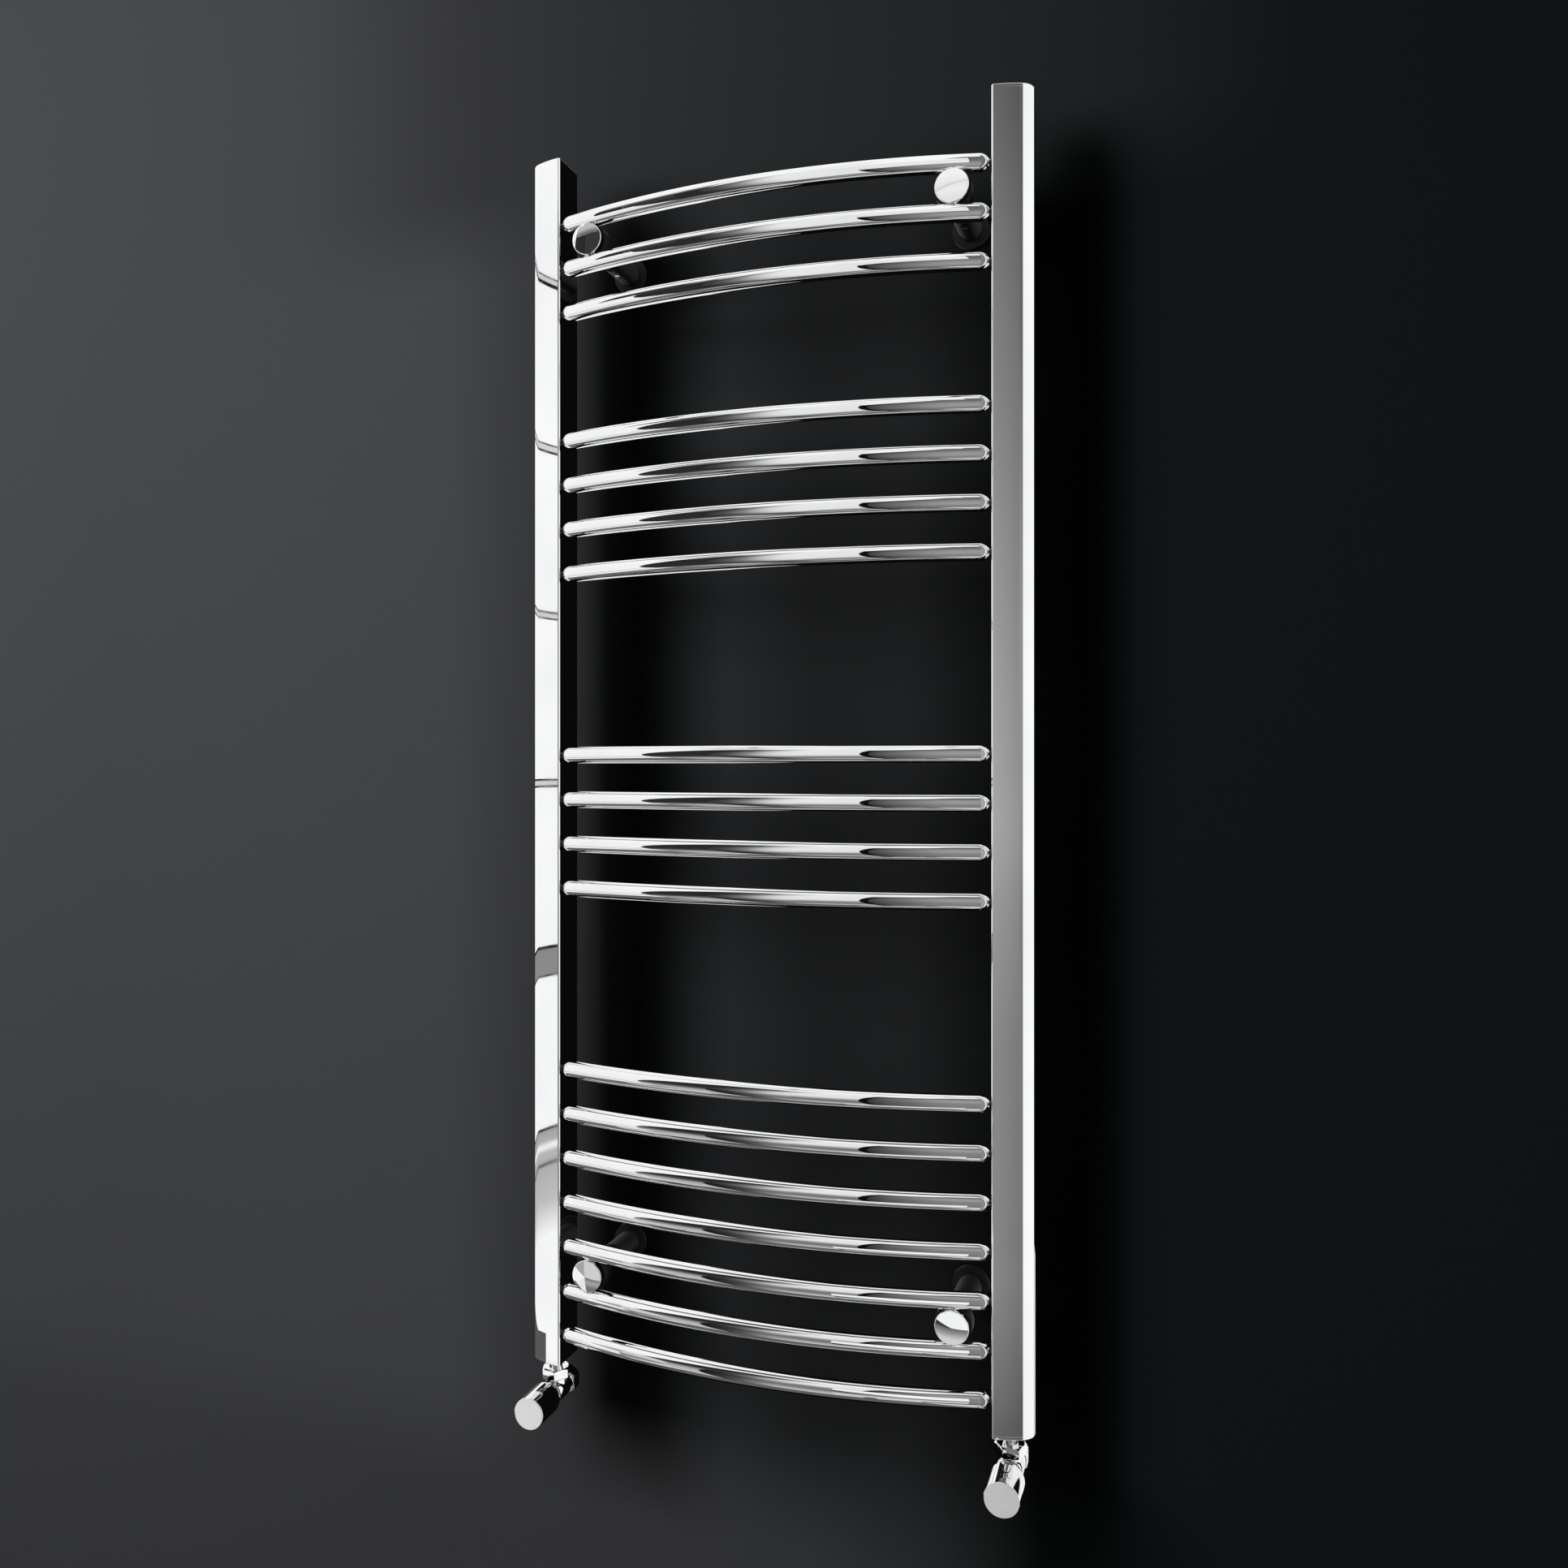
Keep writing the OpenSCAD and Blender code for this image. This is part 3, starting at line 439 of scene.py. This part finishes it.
def bar_mesh():
    """One bar about its own height, on the rail's middle: a bowed tube with the same end on both sides."""
    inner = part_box("collector_right")[0].x / MM
    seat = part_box("top_plate_right")[0].y / MM + INSET
    # The bow's angle from its middle to a straight end, and its radius and centre.
    half = 2 * math.atan(BOW / (inner + STRAIGHT))
    radius = (inner - STRAIGHT * math.cos(half)) / math.sin(half)
    centre = seat - STRAIGHT * math.sin(half) + radius * math.cos(half)
    turn = np.linspace(0, 2 * math.pi, 72, endpoint=False)

    def around(aside):
        """Directions round a bar from its middle line, in the plane of aside and up."""
        return np.outer(np.cos(turn), aside) + np.outer(np.sin(turn), [0, 0, 1])

    skin = Skin()
    steps = 28
    rows, normals = [], []
    for k in range(-steps, steps + 1):
        t = half * k / steps
        at = np.array([radius * math.sin(t), centre - radius * math.cos(t), 0])
        normals.append(around([-math.sin(t), math.cos(t), 0]))
        rows.append(MM * (at + TUBE_R * normals[-1]))
    skin.patch(rows, normals, close=True)
    start = np.array([inner, seat, 0])
    way = np.array([-math.cos(half), -math.sin(half), 0])
    out = around([-math.sin(half), math.cos(half), 0])
    for mirror in (False, True):
        # The root and the neck have the mesh's second material, the near-black painted shade.
        for run, coat in zip(bar_end(), (1, 1, 0)):
            rows = np.array([MM * (start + p[1] * way + p[0] * out) for p in run])
            normals = np.array([p[2] * out + p[3] * way for p in run])
            if mirror:
                rows[:, :, 0] *= -1
                normals[:, :, 0] *= -1
            skin.patch(rows, normals, close=True, flip=not mirror, coat=coat)
    return skin.mesh("bar_skin", CHROME, NECK_PAINTED_SHADE)


BAR_MESH = bar_mesh()
for name in sorted(n for n in NODES if n.startswith("bar_")):
    lo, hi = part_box(name)
    piece(name + "_skin", BAR_MESH, name, height=(lo.z + hi.z) / 2)


# ---------- brackets ----------

# In millimetres: a cap's radius, rim and dome, the hole behind it, and the soft edge from dome to rim.
CAP_R, CAP_RIM, CAP_DOME, CAP_HOLE_R, CAP_EDGE, CAP_SWELL = 15.5, 4.1, 1.4, 4.0, 0.7, 0.16


def cap(place):
    """A domed cap, turned about its axis from the dome's front at 0 to its back."""
    node = "cap_" + place
    lo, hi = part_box(node)
    ball = (CAP_R * CAP_R + CAP_DOME * CAP_DOME) / (2 * CAP_DOME)
    # The dome stops just short of its full width, and the soft edge goes on from there to the rim.
    lean = math.asin(CAP_R / ball) * 0.955
    dome = [(ball * math.sin(t), ball * (1 - math.cos(t)), math.sin(t), -math.cos(t))
            for t in np.linspace(0.0005, lean, 26)]
    start, end = Vector(dome[-1][:2]), Vector((CAP_R, CAP_DOME + CAP_EDGE))
    tilt = math.atan2(-dome[-1][3], dome[-1][2])
    edge = []
    for part in np.linspace(0, 1, 8).tolist():
        t = tilt * (1 - part)
        n = Vector((math.cos(t), -math.sin(t)))
        p = start.lerp(end, part)
        swell = CAP_SWELL * math.sin(math.pi * part)
        edge.append((min(p.x + n.x * swell, CAP_R), p.y + n.y * swell, n.x, n.y))
    back = CAP_RIM + CAP_DOME
    rim = profile([(CAP_R, CAP_DOME + CAP_EDGE, 0), (CAP_R, back, 0.35), (CAP_HOLE_R, back, 0)])
    skin = Skin()
    revolve(skin, [dome, edge] + rim, ((lo.x + hi.x) / 2, lo.y, (lo.z + hi.z) / 2), 120)
    return piece(node + "_skin", skin.mesh(node + "_skin"), node)


for place in ("top_left", "top_right", "bottom_left", "bottom_right"):
    cap(place)
    dressed("saddle_" + place, 0.5)


# ---------- valves ----------

# In millimetres: the round shell of both heads, and the hub or sleeve inside each, as its outside and bore
# radius and its end behind the head's front.
HEAD_R, HEAD_WALL, HEAD_FACE = 15.5, 1.8, 3.0
HUBS = {"left_handle": (6.5, 4.05, 21.0), "right_shield_cap": (9.0, 7.06, 29.5)}


def head(node):
    """The handle or the lockshield cap, turned about its axis from its flat front at 0 to its open back."""
    lo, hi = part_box(node)
    at, length = middle(node), (hi.y - lo.y) / MM
    hub_r, bore_r, hub_end = HUBS[node]
    axis_r = 0.02
    inside = HEAD_R - HEAD_WALL
    shell = profile([
        (axis_r, 0.0, 0), (HEAD_R, 0.0, 0.75), (HEAD_R, length, 0.45), (inside, length, 0.4),
        (inside, HEAD_FACE, 1.0), (axis_r, HEAD_FACE, 0),
    ])
    hub = profile([
        (hub_r, HEAD_FACE, 0), (hub_r, hub_end, 0.4), (bore_r, hub_end, 0.3), (bore_r, HEAD_FACE, 0),
    ])
    skin = Skin()
    revolve(skin, shell, (at.x, lo.y, at.z), 128)
    revolve(skin, hub, (at.x, lo.y, at.z), 72)
    return piece(node + "_skin", skin.mesh(node + "_skin"), node)


for node in HUBS:
    head(node)
for side in SIDES:
    dressed(side + "_tail", 0.25)
    dressed(side + "_union_nut", 0.35, segments=3)
    dressed(side + "_pipe_nut", 0.35, segments=3)
    dressed(side + "_valve_body", 0.5, segments=3)
    dressed(side + "_bonnet", 0.3)
for node in ("vent_body", "blanking_plug", "wall_cups", "bleed_screw"):
    dressed(node, 0.3)


# ---------- floor, wall and light ----------

def stage(name, points, faces, material, **seen):
    """A still shape round the part, with the kinds of ray that don't see it switched off."""
    mesh = bpy.data.meshes.new(name)
    mesh.from_pydata(points, [], faces)
    mesh.materials.append(material)
    o = bpy.data.objects.new(name, mesh)
    bpy.context.scene.collection.objects.link(o)
    for key, value in seen.items():
        setattr(o, key, value)
    return o


def one_sided(tree, shader):
    """Lets the back of a sheet be looked through, for views from behind."""
    out = next(n for n in tree.nodes if n.type == "OUTPUT_MATERIAL")
    side = tree.nodes.new("ShaderNodeNewGeometry")
    clear = tree.nodes.new("ShaderNodeBsdfTransparent")
    mix = tree.nodes.new("ShaderNodeMixShader")
    tree.links.new(side.outputs["Backfacing"], mix.inputs["Fac"])
    tree.links.new(shader.outputs["BSDF"], mix.inputs[1])
    tree.links.new(clear.outputs["BSDF"], mix.inputs[2])
    tree.links.new(mix.outputs["Shader"], out.inputs["Surface"])


def graded(tree, axis, stops):
    """Tones along one axis, by (place in metres, tone) stops."""
    low, high = stops[0][0], stops[-1][0]
    where = tree.nodes.new("ShaderNodeTexCoord")
    split = tree.nodes.new("ShaderNodeSeparateXYZ")
    span = tree.nodes.new("ShaderNodeMapRange")
    span.inputs["From Min"].default_value = low
    span.inputs["From Max"].default_value = high
    tree.links.new(where.outputs["Object"], split.inputs[0])
    tree.links.new(split.outputs[axis], span.inputs["Value"])
    return ramp(tree, span.outputs["Result"], [((at - low) / (high - low), tone) for at, tone in stops])


def blend(tree, factor, first, second, kind="MIX"):
    """Blends two tones. factor is a number or, as the tones are, a node's output."""
    factor_in, first_in, second_in, colour_out = 0, 6, 7, 2
    node = tree.nodes.new("ShaderNodeMix")
    node.data_type = "RGBA"
    node.blend_type = kind
    if hasattr(factor, "links"):
        tree.links.new(factor, node.inputs[factor_in])
    else:
        node.inputs[factor_in].default_value = factor
    tree.links.new(first, node.inputs[first_in])
    tree.links.new(second, node.inputs[second_in])
    return node.outputs[colour_out]


# How far the floor and the wall reach, and the floor's height below the part.
FAR = 9.0
FLOOR_Z = CAD_BOX[0][2] - 0.40


def floor():
    """A plain pale floor, below the main view."""
    material, tree, shader = new_material("pale_floor")
    tone = ramp(tree, noise(tree, 3, 3), [(0.3, 0.66), (0.7, 0.69)])
    tree.links.new(tone, shader.inputs["Base Color"])
    shader.inputs["Roughness"].default_value = 0.85
    corners = [(-FAR, -FAR, FLOOR_Z), (FAR, -FAR, FLOOR_Z), (FAR, FAR, FLOOR_Z), (-FAR, FAR, FLOOR_Z)]
    stage("floor", corners, [(0, 1, 2, 3)], material, visible_glossy=False)


# The wall's tone at its foot, middle and head, as (place across, red against green, tone). The tone carries
# painted light: it falls from left to right as the lamp's light would, it is darker in the middle row behind
# the bars, and darkest beside each collector and round the right valve, as painted shadows. The rows blend
# into each other by height.
WALL_FOOT = [
    (-1.3, 0.97, 0.028), (-0.4, 0.97, 0.027), (-0.1, 0.97, 0.028), (0.02, 0.95, 0.027), (0.15, 0.95, 0.018),
    (0.25, 0.8, 0.003), (0.30, 0.8, 0.003), (0.40, 0.75, 0.006), (0.7, 0.75, 0.009)]
WALL_MIDDLE = [
    (-1.3, 0.97, 0.034), (-0.9, 0.97, 0.033), (-0.4, 0.97, 0.036), (-0.26, 0.97, 0.022), (-0.21, 0.9, 0.0025),
    (-0.15, 0.9, 0.003), (-0.07, 0.95, 0.016), (0.02, 0.95, 0.011), (0.12, 0.95, 0.012), (0.22, 0.9, 0.003),
    (0.245, 0.8, 0.001), (0.29, 0.8, 0.0015), (0.335, 0.75, 0.007), (0.7, 0.75, 0.0075)]
WALL_HEAD = [
    (-1.3, 0.97, 0.034), (-0.6, 0.97, 0.033), (-0.37, 0.97, 0.022), (-0.165, 0.95, 0.018),
    (0.02, 0.93, 0.0155), (0.19, 0.9, 0.0138), (0.33, 0.85, 0.012), (0.47, 0.75, 0.0075), (0.7, 0.75, 0.007)]
WALL_BLUE = 1.05
FOOT_BLEND, HEAD_BLEND = [(-0.80, 0.0), (-0.68, 1.0)], [(0.52, 0.0), (0.62, 1.0)]


def wall():
    """The dark wall just behind the part, from the floor up, whose tone holds painted shadows and painted
    light.
    """
    material, tree, shader = new_material("wall_paint_and_painted_shade")
    # Each row falls off to the right as painted light, and dips as painted shadow beside the collectors.
    foot, mid, top = [
        graded(tree, "X", [(x, (red * tone, tone, WALL_BLUE * tone)) for x, red, tone in row])
        for row in (WALL_FOOT, WALL_MIDDLE, WALL_HEAD)]
    low = blend(tree, graded(tree, "Z", FOOT_BLEND), foot, mid)
    tree.links.new(blend(tree, graded(tree, "Z", HEAD_BLEND), low, top), shader.inputs["Base Color"])
    shader.inputs["Roughness"].default_value = 0.8
    shader.inputs["Specular IOR Level"].default_value = 0.0
    bump(tree, shader, noise(tree, 420, 3), 0.25, 0.0003)
    one_sided(tree, shader)
    y, head = CAD_BOX[1][1] + 0.0005, 4
    corners = [(-FAR, y, FLOOR_Z), (FAR, y, FLOOR_Z), (FAR, y, head), (-FAR, y, head)]
    stage("wall", corners, [(0, 1, 2, 3)], material, visible_glossy=False)


def world(tone):
    studio = bpy.data.worlds.new("studio")
    studio.use_nodes = True
    back = next(n for n in studio.node_tree.nodes if n.type == "BACKGROUND")
    back.inputs["Color"].default_value = (tone, tone, tone * 1.01, 1)
    back.inputs["Strength"].default_value = 1.0
    bpy.context.scene.world = studio


def key_light():
    """The lamp on the left, aimed at the rail. Reflections don't see it."""
    lamp = bpy.data.lights.new("key", "AREA")
    lamp.shape = "RECTANGLE"
    lamp.size, lamp.size_y = 1.0, 1.4
    lamp.energy = 85
    key = bpy.data.objects.new("key", lamp)
    bpy.context.scene.collection.objects.link(key)
    key.location = (-1.5, -1.9, 0.9)
    aim = Vector((-0.1, 0, 0))
    key.rotation_euler = (aim - key.location).to_track_quat("-Z", "Y").to_euler()
    key.visible_glossy = False


floor()
wall()
world(0.35)


# ---------- cards that only reflections see ----------

UNSEEN = {"visible_camera": False, "visible_diffuse": False, "visible_shadow": False,
          "visible_transmission": False, "visible_volume_scatter": False}


def glow(name, up, across=None):
    """A card's light: one strength, or (height, strength) stops, times (place across, strength) stops."""
    material = bpy.data.materials.new(name)
    material.use_nodes = True
    tree = material.node_tree
    tree.nodes.clear()
    out = tree.nodes.new("ShaderNodeOutputMaterial")
    light = tree.nodes.new("ShaderNodeEmission")
    light.inputs["Color"].default_value = (1, 1, 1, 1)
    light.inputs["Strength"].default_value = 1.0
    tree.links.new(light.outputs[0], out.inputs["Surface"])
    if not hasattr(up, "__len__"):
        light.inputs["Strength"].default_value = up
        return material
    shade = graded(tree, "Z", up)
    if across:
        shade = blend(tree, 1.0, shade, graded(tree, "X", across), "MULTIPLY")
    tree.links.new(shade, light.inputs["Color"])
    return material


def curved(name, centre, azimuths, heights, radius, material):
    """A card round an upright axis. Azimuth 0 is the room side, and more is further to the right."""
    start, end = azimuths
    count = max(2, int(abs(end - start) / 4))
    points = []
    for k in range(count + 1):
        a = math.radians(start + (end - start) * k / count)
        x, y = centre[0] + radius * math.sin(a), centre[1] - radius * math.cos(a)
        points += [(x, y, z) for z in heights]
    faces = [(2 * k, 2 * k + 2, 2 * k + 3, 2 * k + 1) for k in range(count)]
    return stage(name, points, faces, material, **UNSEEN)


def flat(name, x0, x1, y0, y1, z, material):
    """A level card."""
    corners = [(x0, y0, z), (x1, y0, z), (x1, y1, z), (x0, y1, z)]
    return stage(name, corners, [(0, 1, 2, 3)], material, **UNSEEN)


def upright(name, y, outline, material):
    """An upright card along the wall, from its (x, z) corners."""
    return stage(name, [(x, y, z) for x, z in outline], [tuple(range(len(outline)))], material, **UNSEEN)


def oblong(x0, x1, z0, z1):
    return [(x0, z0), (x1, z0), (x1, z1), (x0, z1)]


WHITE, BLACK = glow("softbox_white", 1.10), glow("card_black", 0.003)
# Where the big cards end above, where the level ones lie below, and the foot and place of those in front.
HIGH, LOW, FRONT_FOOT, FRONT_Y = 3.15, -1.75, -1.1, -0.66


def left_cards():
    """A tall curved softbox in white rows, with a pale band between two dark lines at most joints."""
    centre, radius, azimuths = (-0.197, -0.197), 2.0, (-165, -20)
    foot, head = -1.60, 2.75
    band, dim = glow("card_band", 0.75), glow("card_mid", 0.30)
    lower = glow("card_lower", [
        (foot, 1.1), (-1.22, 1.1), (-1.15, 0.72), (-1.125, 0.60), (-1.04, 0.50), (-1.032, 0.10),
        (-1.024, 0.50), (-1.0, 0.55), (-0.992, 1.0), (-0.982, 1.0), (-0.974, 0.50), (-0.945, 0.42)])
    rows = [
        (foot, -0.945, lower), (-0.938, -0.550, WHITE), (-0.545, -0.478, dim),
        (-0.470, -0.062, WHITE), (-0.057, -0.045, band), (-0.040, 0.371, WHITE), (0.375, 0.387, band),
        (0.392, 0.800, WHITE), (0.806, 0.820, band), (0.824, 1.230, WHITE), (1.240, 1.252, band),
        (1.256, head, WHITE)]
    for k, (z0, z1, material) in enumerate(rows):
        curved("left_%d" % k, centre, azimuths, (z0, z1), radius, material)
    curved("left_gaps", centre, azimuths, (foot, head), radius + 0.01, BLACK)


def front_cards():
    """In front, from left to right: dark, a slope to white, white, a slot's dark edge, and grey."""
    upright("front_dark", FRONT_Y, oblong(-0.585, -0.329, FRONT_FOOT, 1.25), glow("card_dark", [
        (FRONT_FOOT, 0.60), (-0.70, 0.55), (-0.52, 0.45), (-0.40, 0.22), (-0.28, 0.09), (-0.16, 0.028),
        (0.78, 0.026), (0.83, 0.13), (1.0, 0.30), (1.15, 0.75), (1.25, 1.0)]))
    slope = [(-0.33, FRONT_FOOT), (-0.084, FRONT_FOOT), (-0.084, 1.1), (-0.33, 0.80)]
    upright("front_slope", FRONT_Y, slope, glow(
        "card_slope",
        [(FRONT_FOOT, 0.75), (-0.80, 0.45), (-0.60, 0.22), (-0.45, 0.22), (-0.32, 0.42), (-0.15, 0.90),
         (0.6, 1.0), (2.0, 1.1)],
        [(-0.33, 0.045), (-0.30, 0.065), (-0.27, 0.11), (-0.245, 0.18), (-0.215, 0.29), (-0.19, 0.48),
         (-0.16, 0.70), (-0.135, 0.84), (-0.11, 0.93), (-0.085, 0.97)]))
    post = [(0.088, FRONT_FOOT), (0.110, FRONT_FOOT), (0.110, 0.57), (0.088, 0.55)]
    upright("front_post", FRONT_Y + 0.002, post, BLACK)
    # The grey card's top rises to the right, so that the bars' tops stay white.
    grey = [(0.103, FRONT_FOOT), (0.67, FRONT_FOOT), (0.67, 1.75), (0.38, 1.5), (0.32, 1.15), (0.27, 0.85),
            (0.20, 0.70), (0.103, 0.58)]
    upright("front_grey", FRONT_Y, grey, glow(
        "card_grey",
        [(FRONT_FOOT, 0.12), (-0.92, 0.14), (-0.80, 0.23), (-0.60, 0.25), (-0.40, 0.25), (-0.20, 0.29),
         (-0.05, 0.37), (0.25, 0.36), (0.45, 0.27), (0.62, 0.18), (0.85, 0.145), (1.1, 0.16), (1.75, 0.3)],
        [(0.103, 0.10), (0.125, 0.22), (0.158, 0.40), (0.20, 0.55), (0.24, 0.72), (0.28, 0.90), (0.33, 1.0),
         (0.50, 1.0), (0.67, 0.86)]))
    upright("front_white", FRONT_Y, oblong(-0.085, 0.089, FRONT_FOOT, 2.0), glow("card_front", [
        (FRONT_FOOT, 0.75), (-0.80, 0.45), (-0.60, 0.22), (-0.45, 0.20), (-0.32, 0.32), (-0.20, 0.70),
        (-0.08, 0.92), (0.6, 0.95), (2.0, 1.0)]))
    upright("far_white", -2.2, oblong(-1.1, 2.6, -1.0, HIGH), WHITE)


def face_card():
    """A card close before the right collector: its front and the bars' tips beside it mirror one grey."""
    lo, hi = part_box("collector_right")
    left, right = lo.x - 0.002, hi.x - 0.0008
    stops = [(0.0, 0.14), (0.015, 0.166), (0.104, 0.25), (0.284, 0.26), (0.463, 0.40), (0.64, 0.32),
             (0.82, 0.23), (0.97, 0.15), (1.0, 0.14)]
    up = [(lo.z + (hi.z - lo.z) * part, strength) for part, strength in stops]
    upright("front_face", lo.y - 0.012, oblong(left, right, lo.z - 0.008, hi.z + 0.03),
            glow("card_face", up, [(left, 1.19), (right, 0.86)]))


def right_and_back_cards():
    """White on the right, going round to black at the back, and white above."""
    centre = (0.0, -0.1)
    upright("right_white", FRONT_Y, oblong(0.672, 2.4, -1.6, HIGH), WHITE)
    curved("side_white", centre, (62, 138), (-3.2, HIGH), 2.6, glow("card_side", 1.12))
    curved("dark_back", centre, (138, 200), (-3.2, HIGH), 3.0, BLACK)
    curved("dark_back_left", centre, (200, 236), (-3.2, 2.2), 2.9, BLACK)
    flat("top", -2.6, 3, -3, 2.2, HIGH + 0.05, WHITE)


def low_cards():
    """Below: greys with a dark line between them, paler to the right, and black under the part and behind."""
    front, line, back = -3, -0.1, 2.2
    flat("low_left", -3, -0.93, front, line, LOW, glow("card_low", 0.17))
    flat("low_line", -0.93, -0.82, front, -0.3, LOW + 0.001, BLACK)
    flat("low", -0.82, 0.35, front, line, LOW, glow("card_dim", 0.13))
    flat("low_right", 0.35, 1.4, front, line, LOW, glow("card_low_right", 0.7))
    flat("low_back", -3, 1.4, line, back, LOW, BLACK)


def valve_cards():
    """Small cards for the valves: one before each head, two round the left one and one behind the right."""
    upright("foot_left", -0.45, oblong(-0.48, -0.33, -0.92, -0.78), glow("card_foot_left", 0.80))
    upright("foot_right", -0.45, oblong(0.12, 0.21, -0.90, -0.785), glow("card_foot_right", 0.62))
    centre, radius = (-0.217, -0.03), 0.11
    curved("foot_black", centre, (-170, -125), (-0.74, -0.58), radius, BLACK)
    curved("foot_grey", centre, (-125, -35), (-0.74, -0.60), radius, glow("card_foot_grey", 0.11))
    upright("foot_back", 0.10, oblong(0.235, 0.36, -0.76, -0.51), glow("card_foot_back", 1.0))


def cap_cards(cap, pieces):
    """Small cards before a cap, where its dome mirrors them. Their corners and stops are parts of the radius
    that the cap has on the cards."""
    before, radius, apart = 0.15, 0.056, 0.0005
    centre = middle(cap)
    away = centre - EYE
    reach = before / away.y
    x, z = centre.x + away.x * reach, centre.z + away.z * reach
    for k, (outline, light) in enumerate(pieces):
        if hasattr(light, "__len__"):
            light = [(z + radius * up, strength) for up, strength in light]
        upright("%s_card_%d" % (cap, k), centre.y - before + apart * k,
                [(x + radius * across, z + radius * up) for across, up in outline],
                glow("%s_glow_%d" % (cap, k), light))


def sector(start, end):
    """A sector of a round card whose middle lies a little to the left of the cap's."""
    middle_x, radius, steps = -0.08, 1.6, 6
    turns = [math.radians(start + (end - start) * k / steps) for k in range(steps + 1)]
    arc_points = [(middle_x + radius * math.cos(a), radius * math.sin(a)) for a in turns]
    return [(middle_x, 0.0)] + arc_points


left_cards()
front_cards()
face_card()
right_and_back_cards()
low_cards()
valve_cards()
cap_cards("cap_top_left", [
    ([(-1.25, -1.6), (-0.09, -1.6), (-0.09, 0.22), (-1.25, 0.45)], 0.030),
    ([(-0.03, -1.6), (1.7, -1.6), (1.7, 0.5), (-0.03, 0.22)], 0.046),
    (oblong(-0.09, -0.03, -1.6, 0.22), 0.010),
    ([(-1.25, 0.45), (-0.06, 0.22), (1.7, 0.5), (1.7, 1.5), (-1.25, 1.5)],
     [(0.2, 0.10), (0.5, 0.20), (1.0, 0.60)])])
cap_cards("cap_top_right", [
    ([(-1.6, -1.6), (1.6, -1.6), (1.6, 0.25), (-1.6, -0.4)], [(-1.0, 0.90), (-0.4, 1.0), (0.2, 0.90)]),
    ([(-1.6, -0.4), (1.6, 0.25), (1.6, 0.40), (-1.6, -0.12)], 0.80),
    ([(-1.6, -0.12), (1.6, 0.40), (1.6, 1.6), (-1.6, 1.6)], [(-0.1, 0.92), (1.0, 1.05)])])
cap_cards("cap_bottom_left", [
    (sector(-5, 92), 0.72), (sector(92, 152), 0.44), (sector(152, 215), 1.08), (sector(215, 262), 0.95),
    (sector(262, 355), [(-1.0, 0.20), (-0.45, 0.45), (-0.1, 0.22)])])
cap_cards("cap_bottom_right", [
    ([(-1.6, -1.6), (1.6, -1.6), (1.6, 0.0), (0.0, 0.06), (-1.6, 0.62)],
     [(-1.0, 0.72), (-0.35, 0.32), (0.05, 0.15)]),
    ([(-1.6, 0.15), (-0.1, 0.03), (0.3, 0.02), (0.0, 0.10), (-1.6, 0.66)], 0.05),
    ([(-1.6, 0.64), (0.0, 0.08), (1.6, 0.02), (1.6, 1.6), (-1.6, 1.6)], 1.05)])

key_light()

bpy.context.scene.view_settings.view_transform = "Standard"
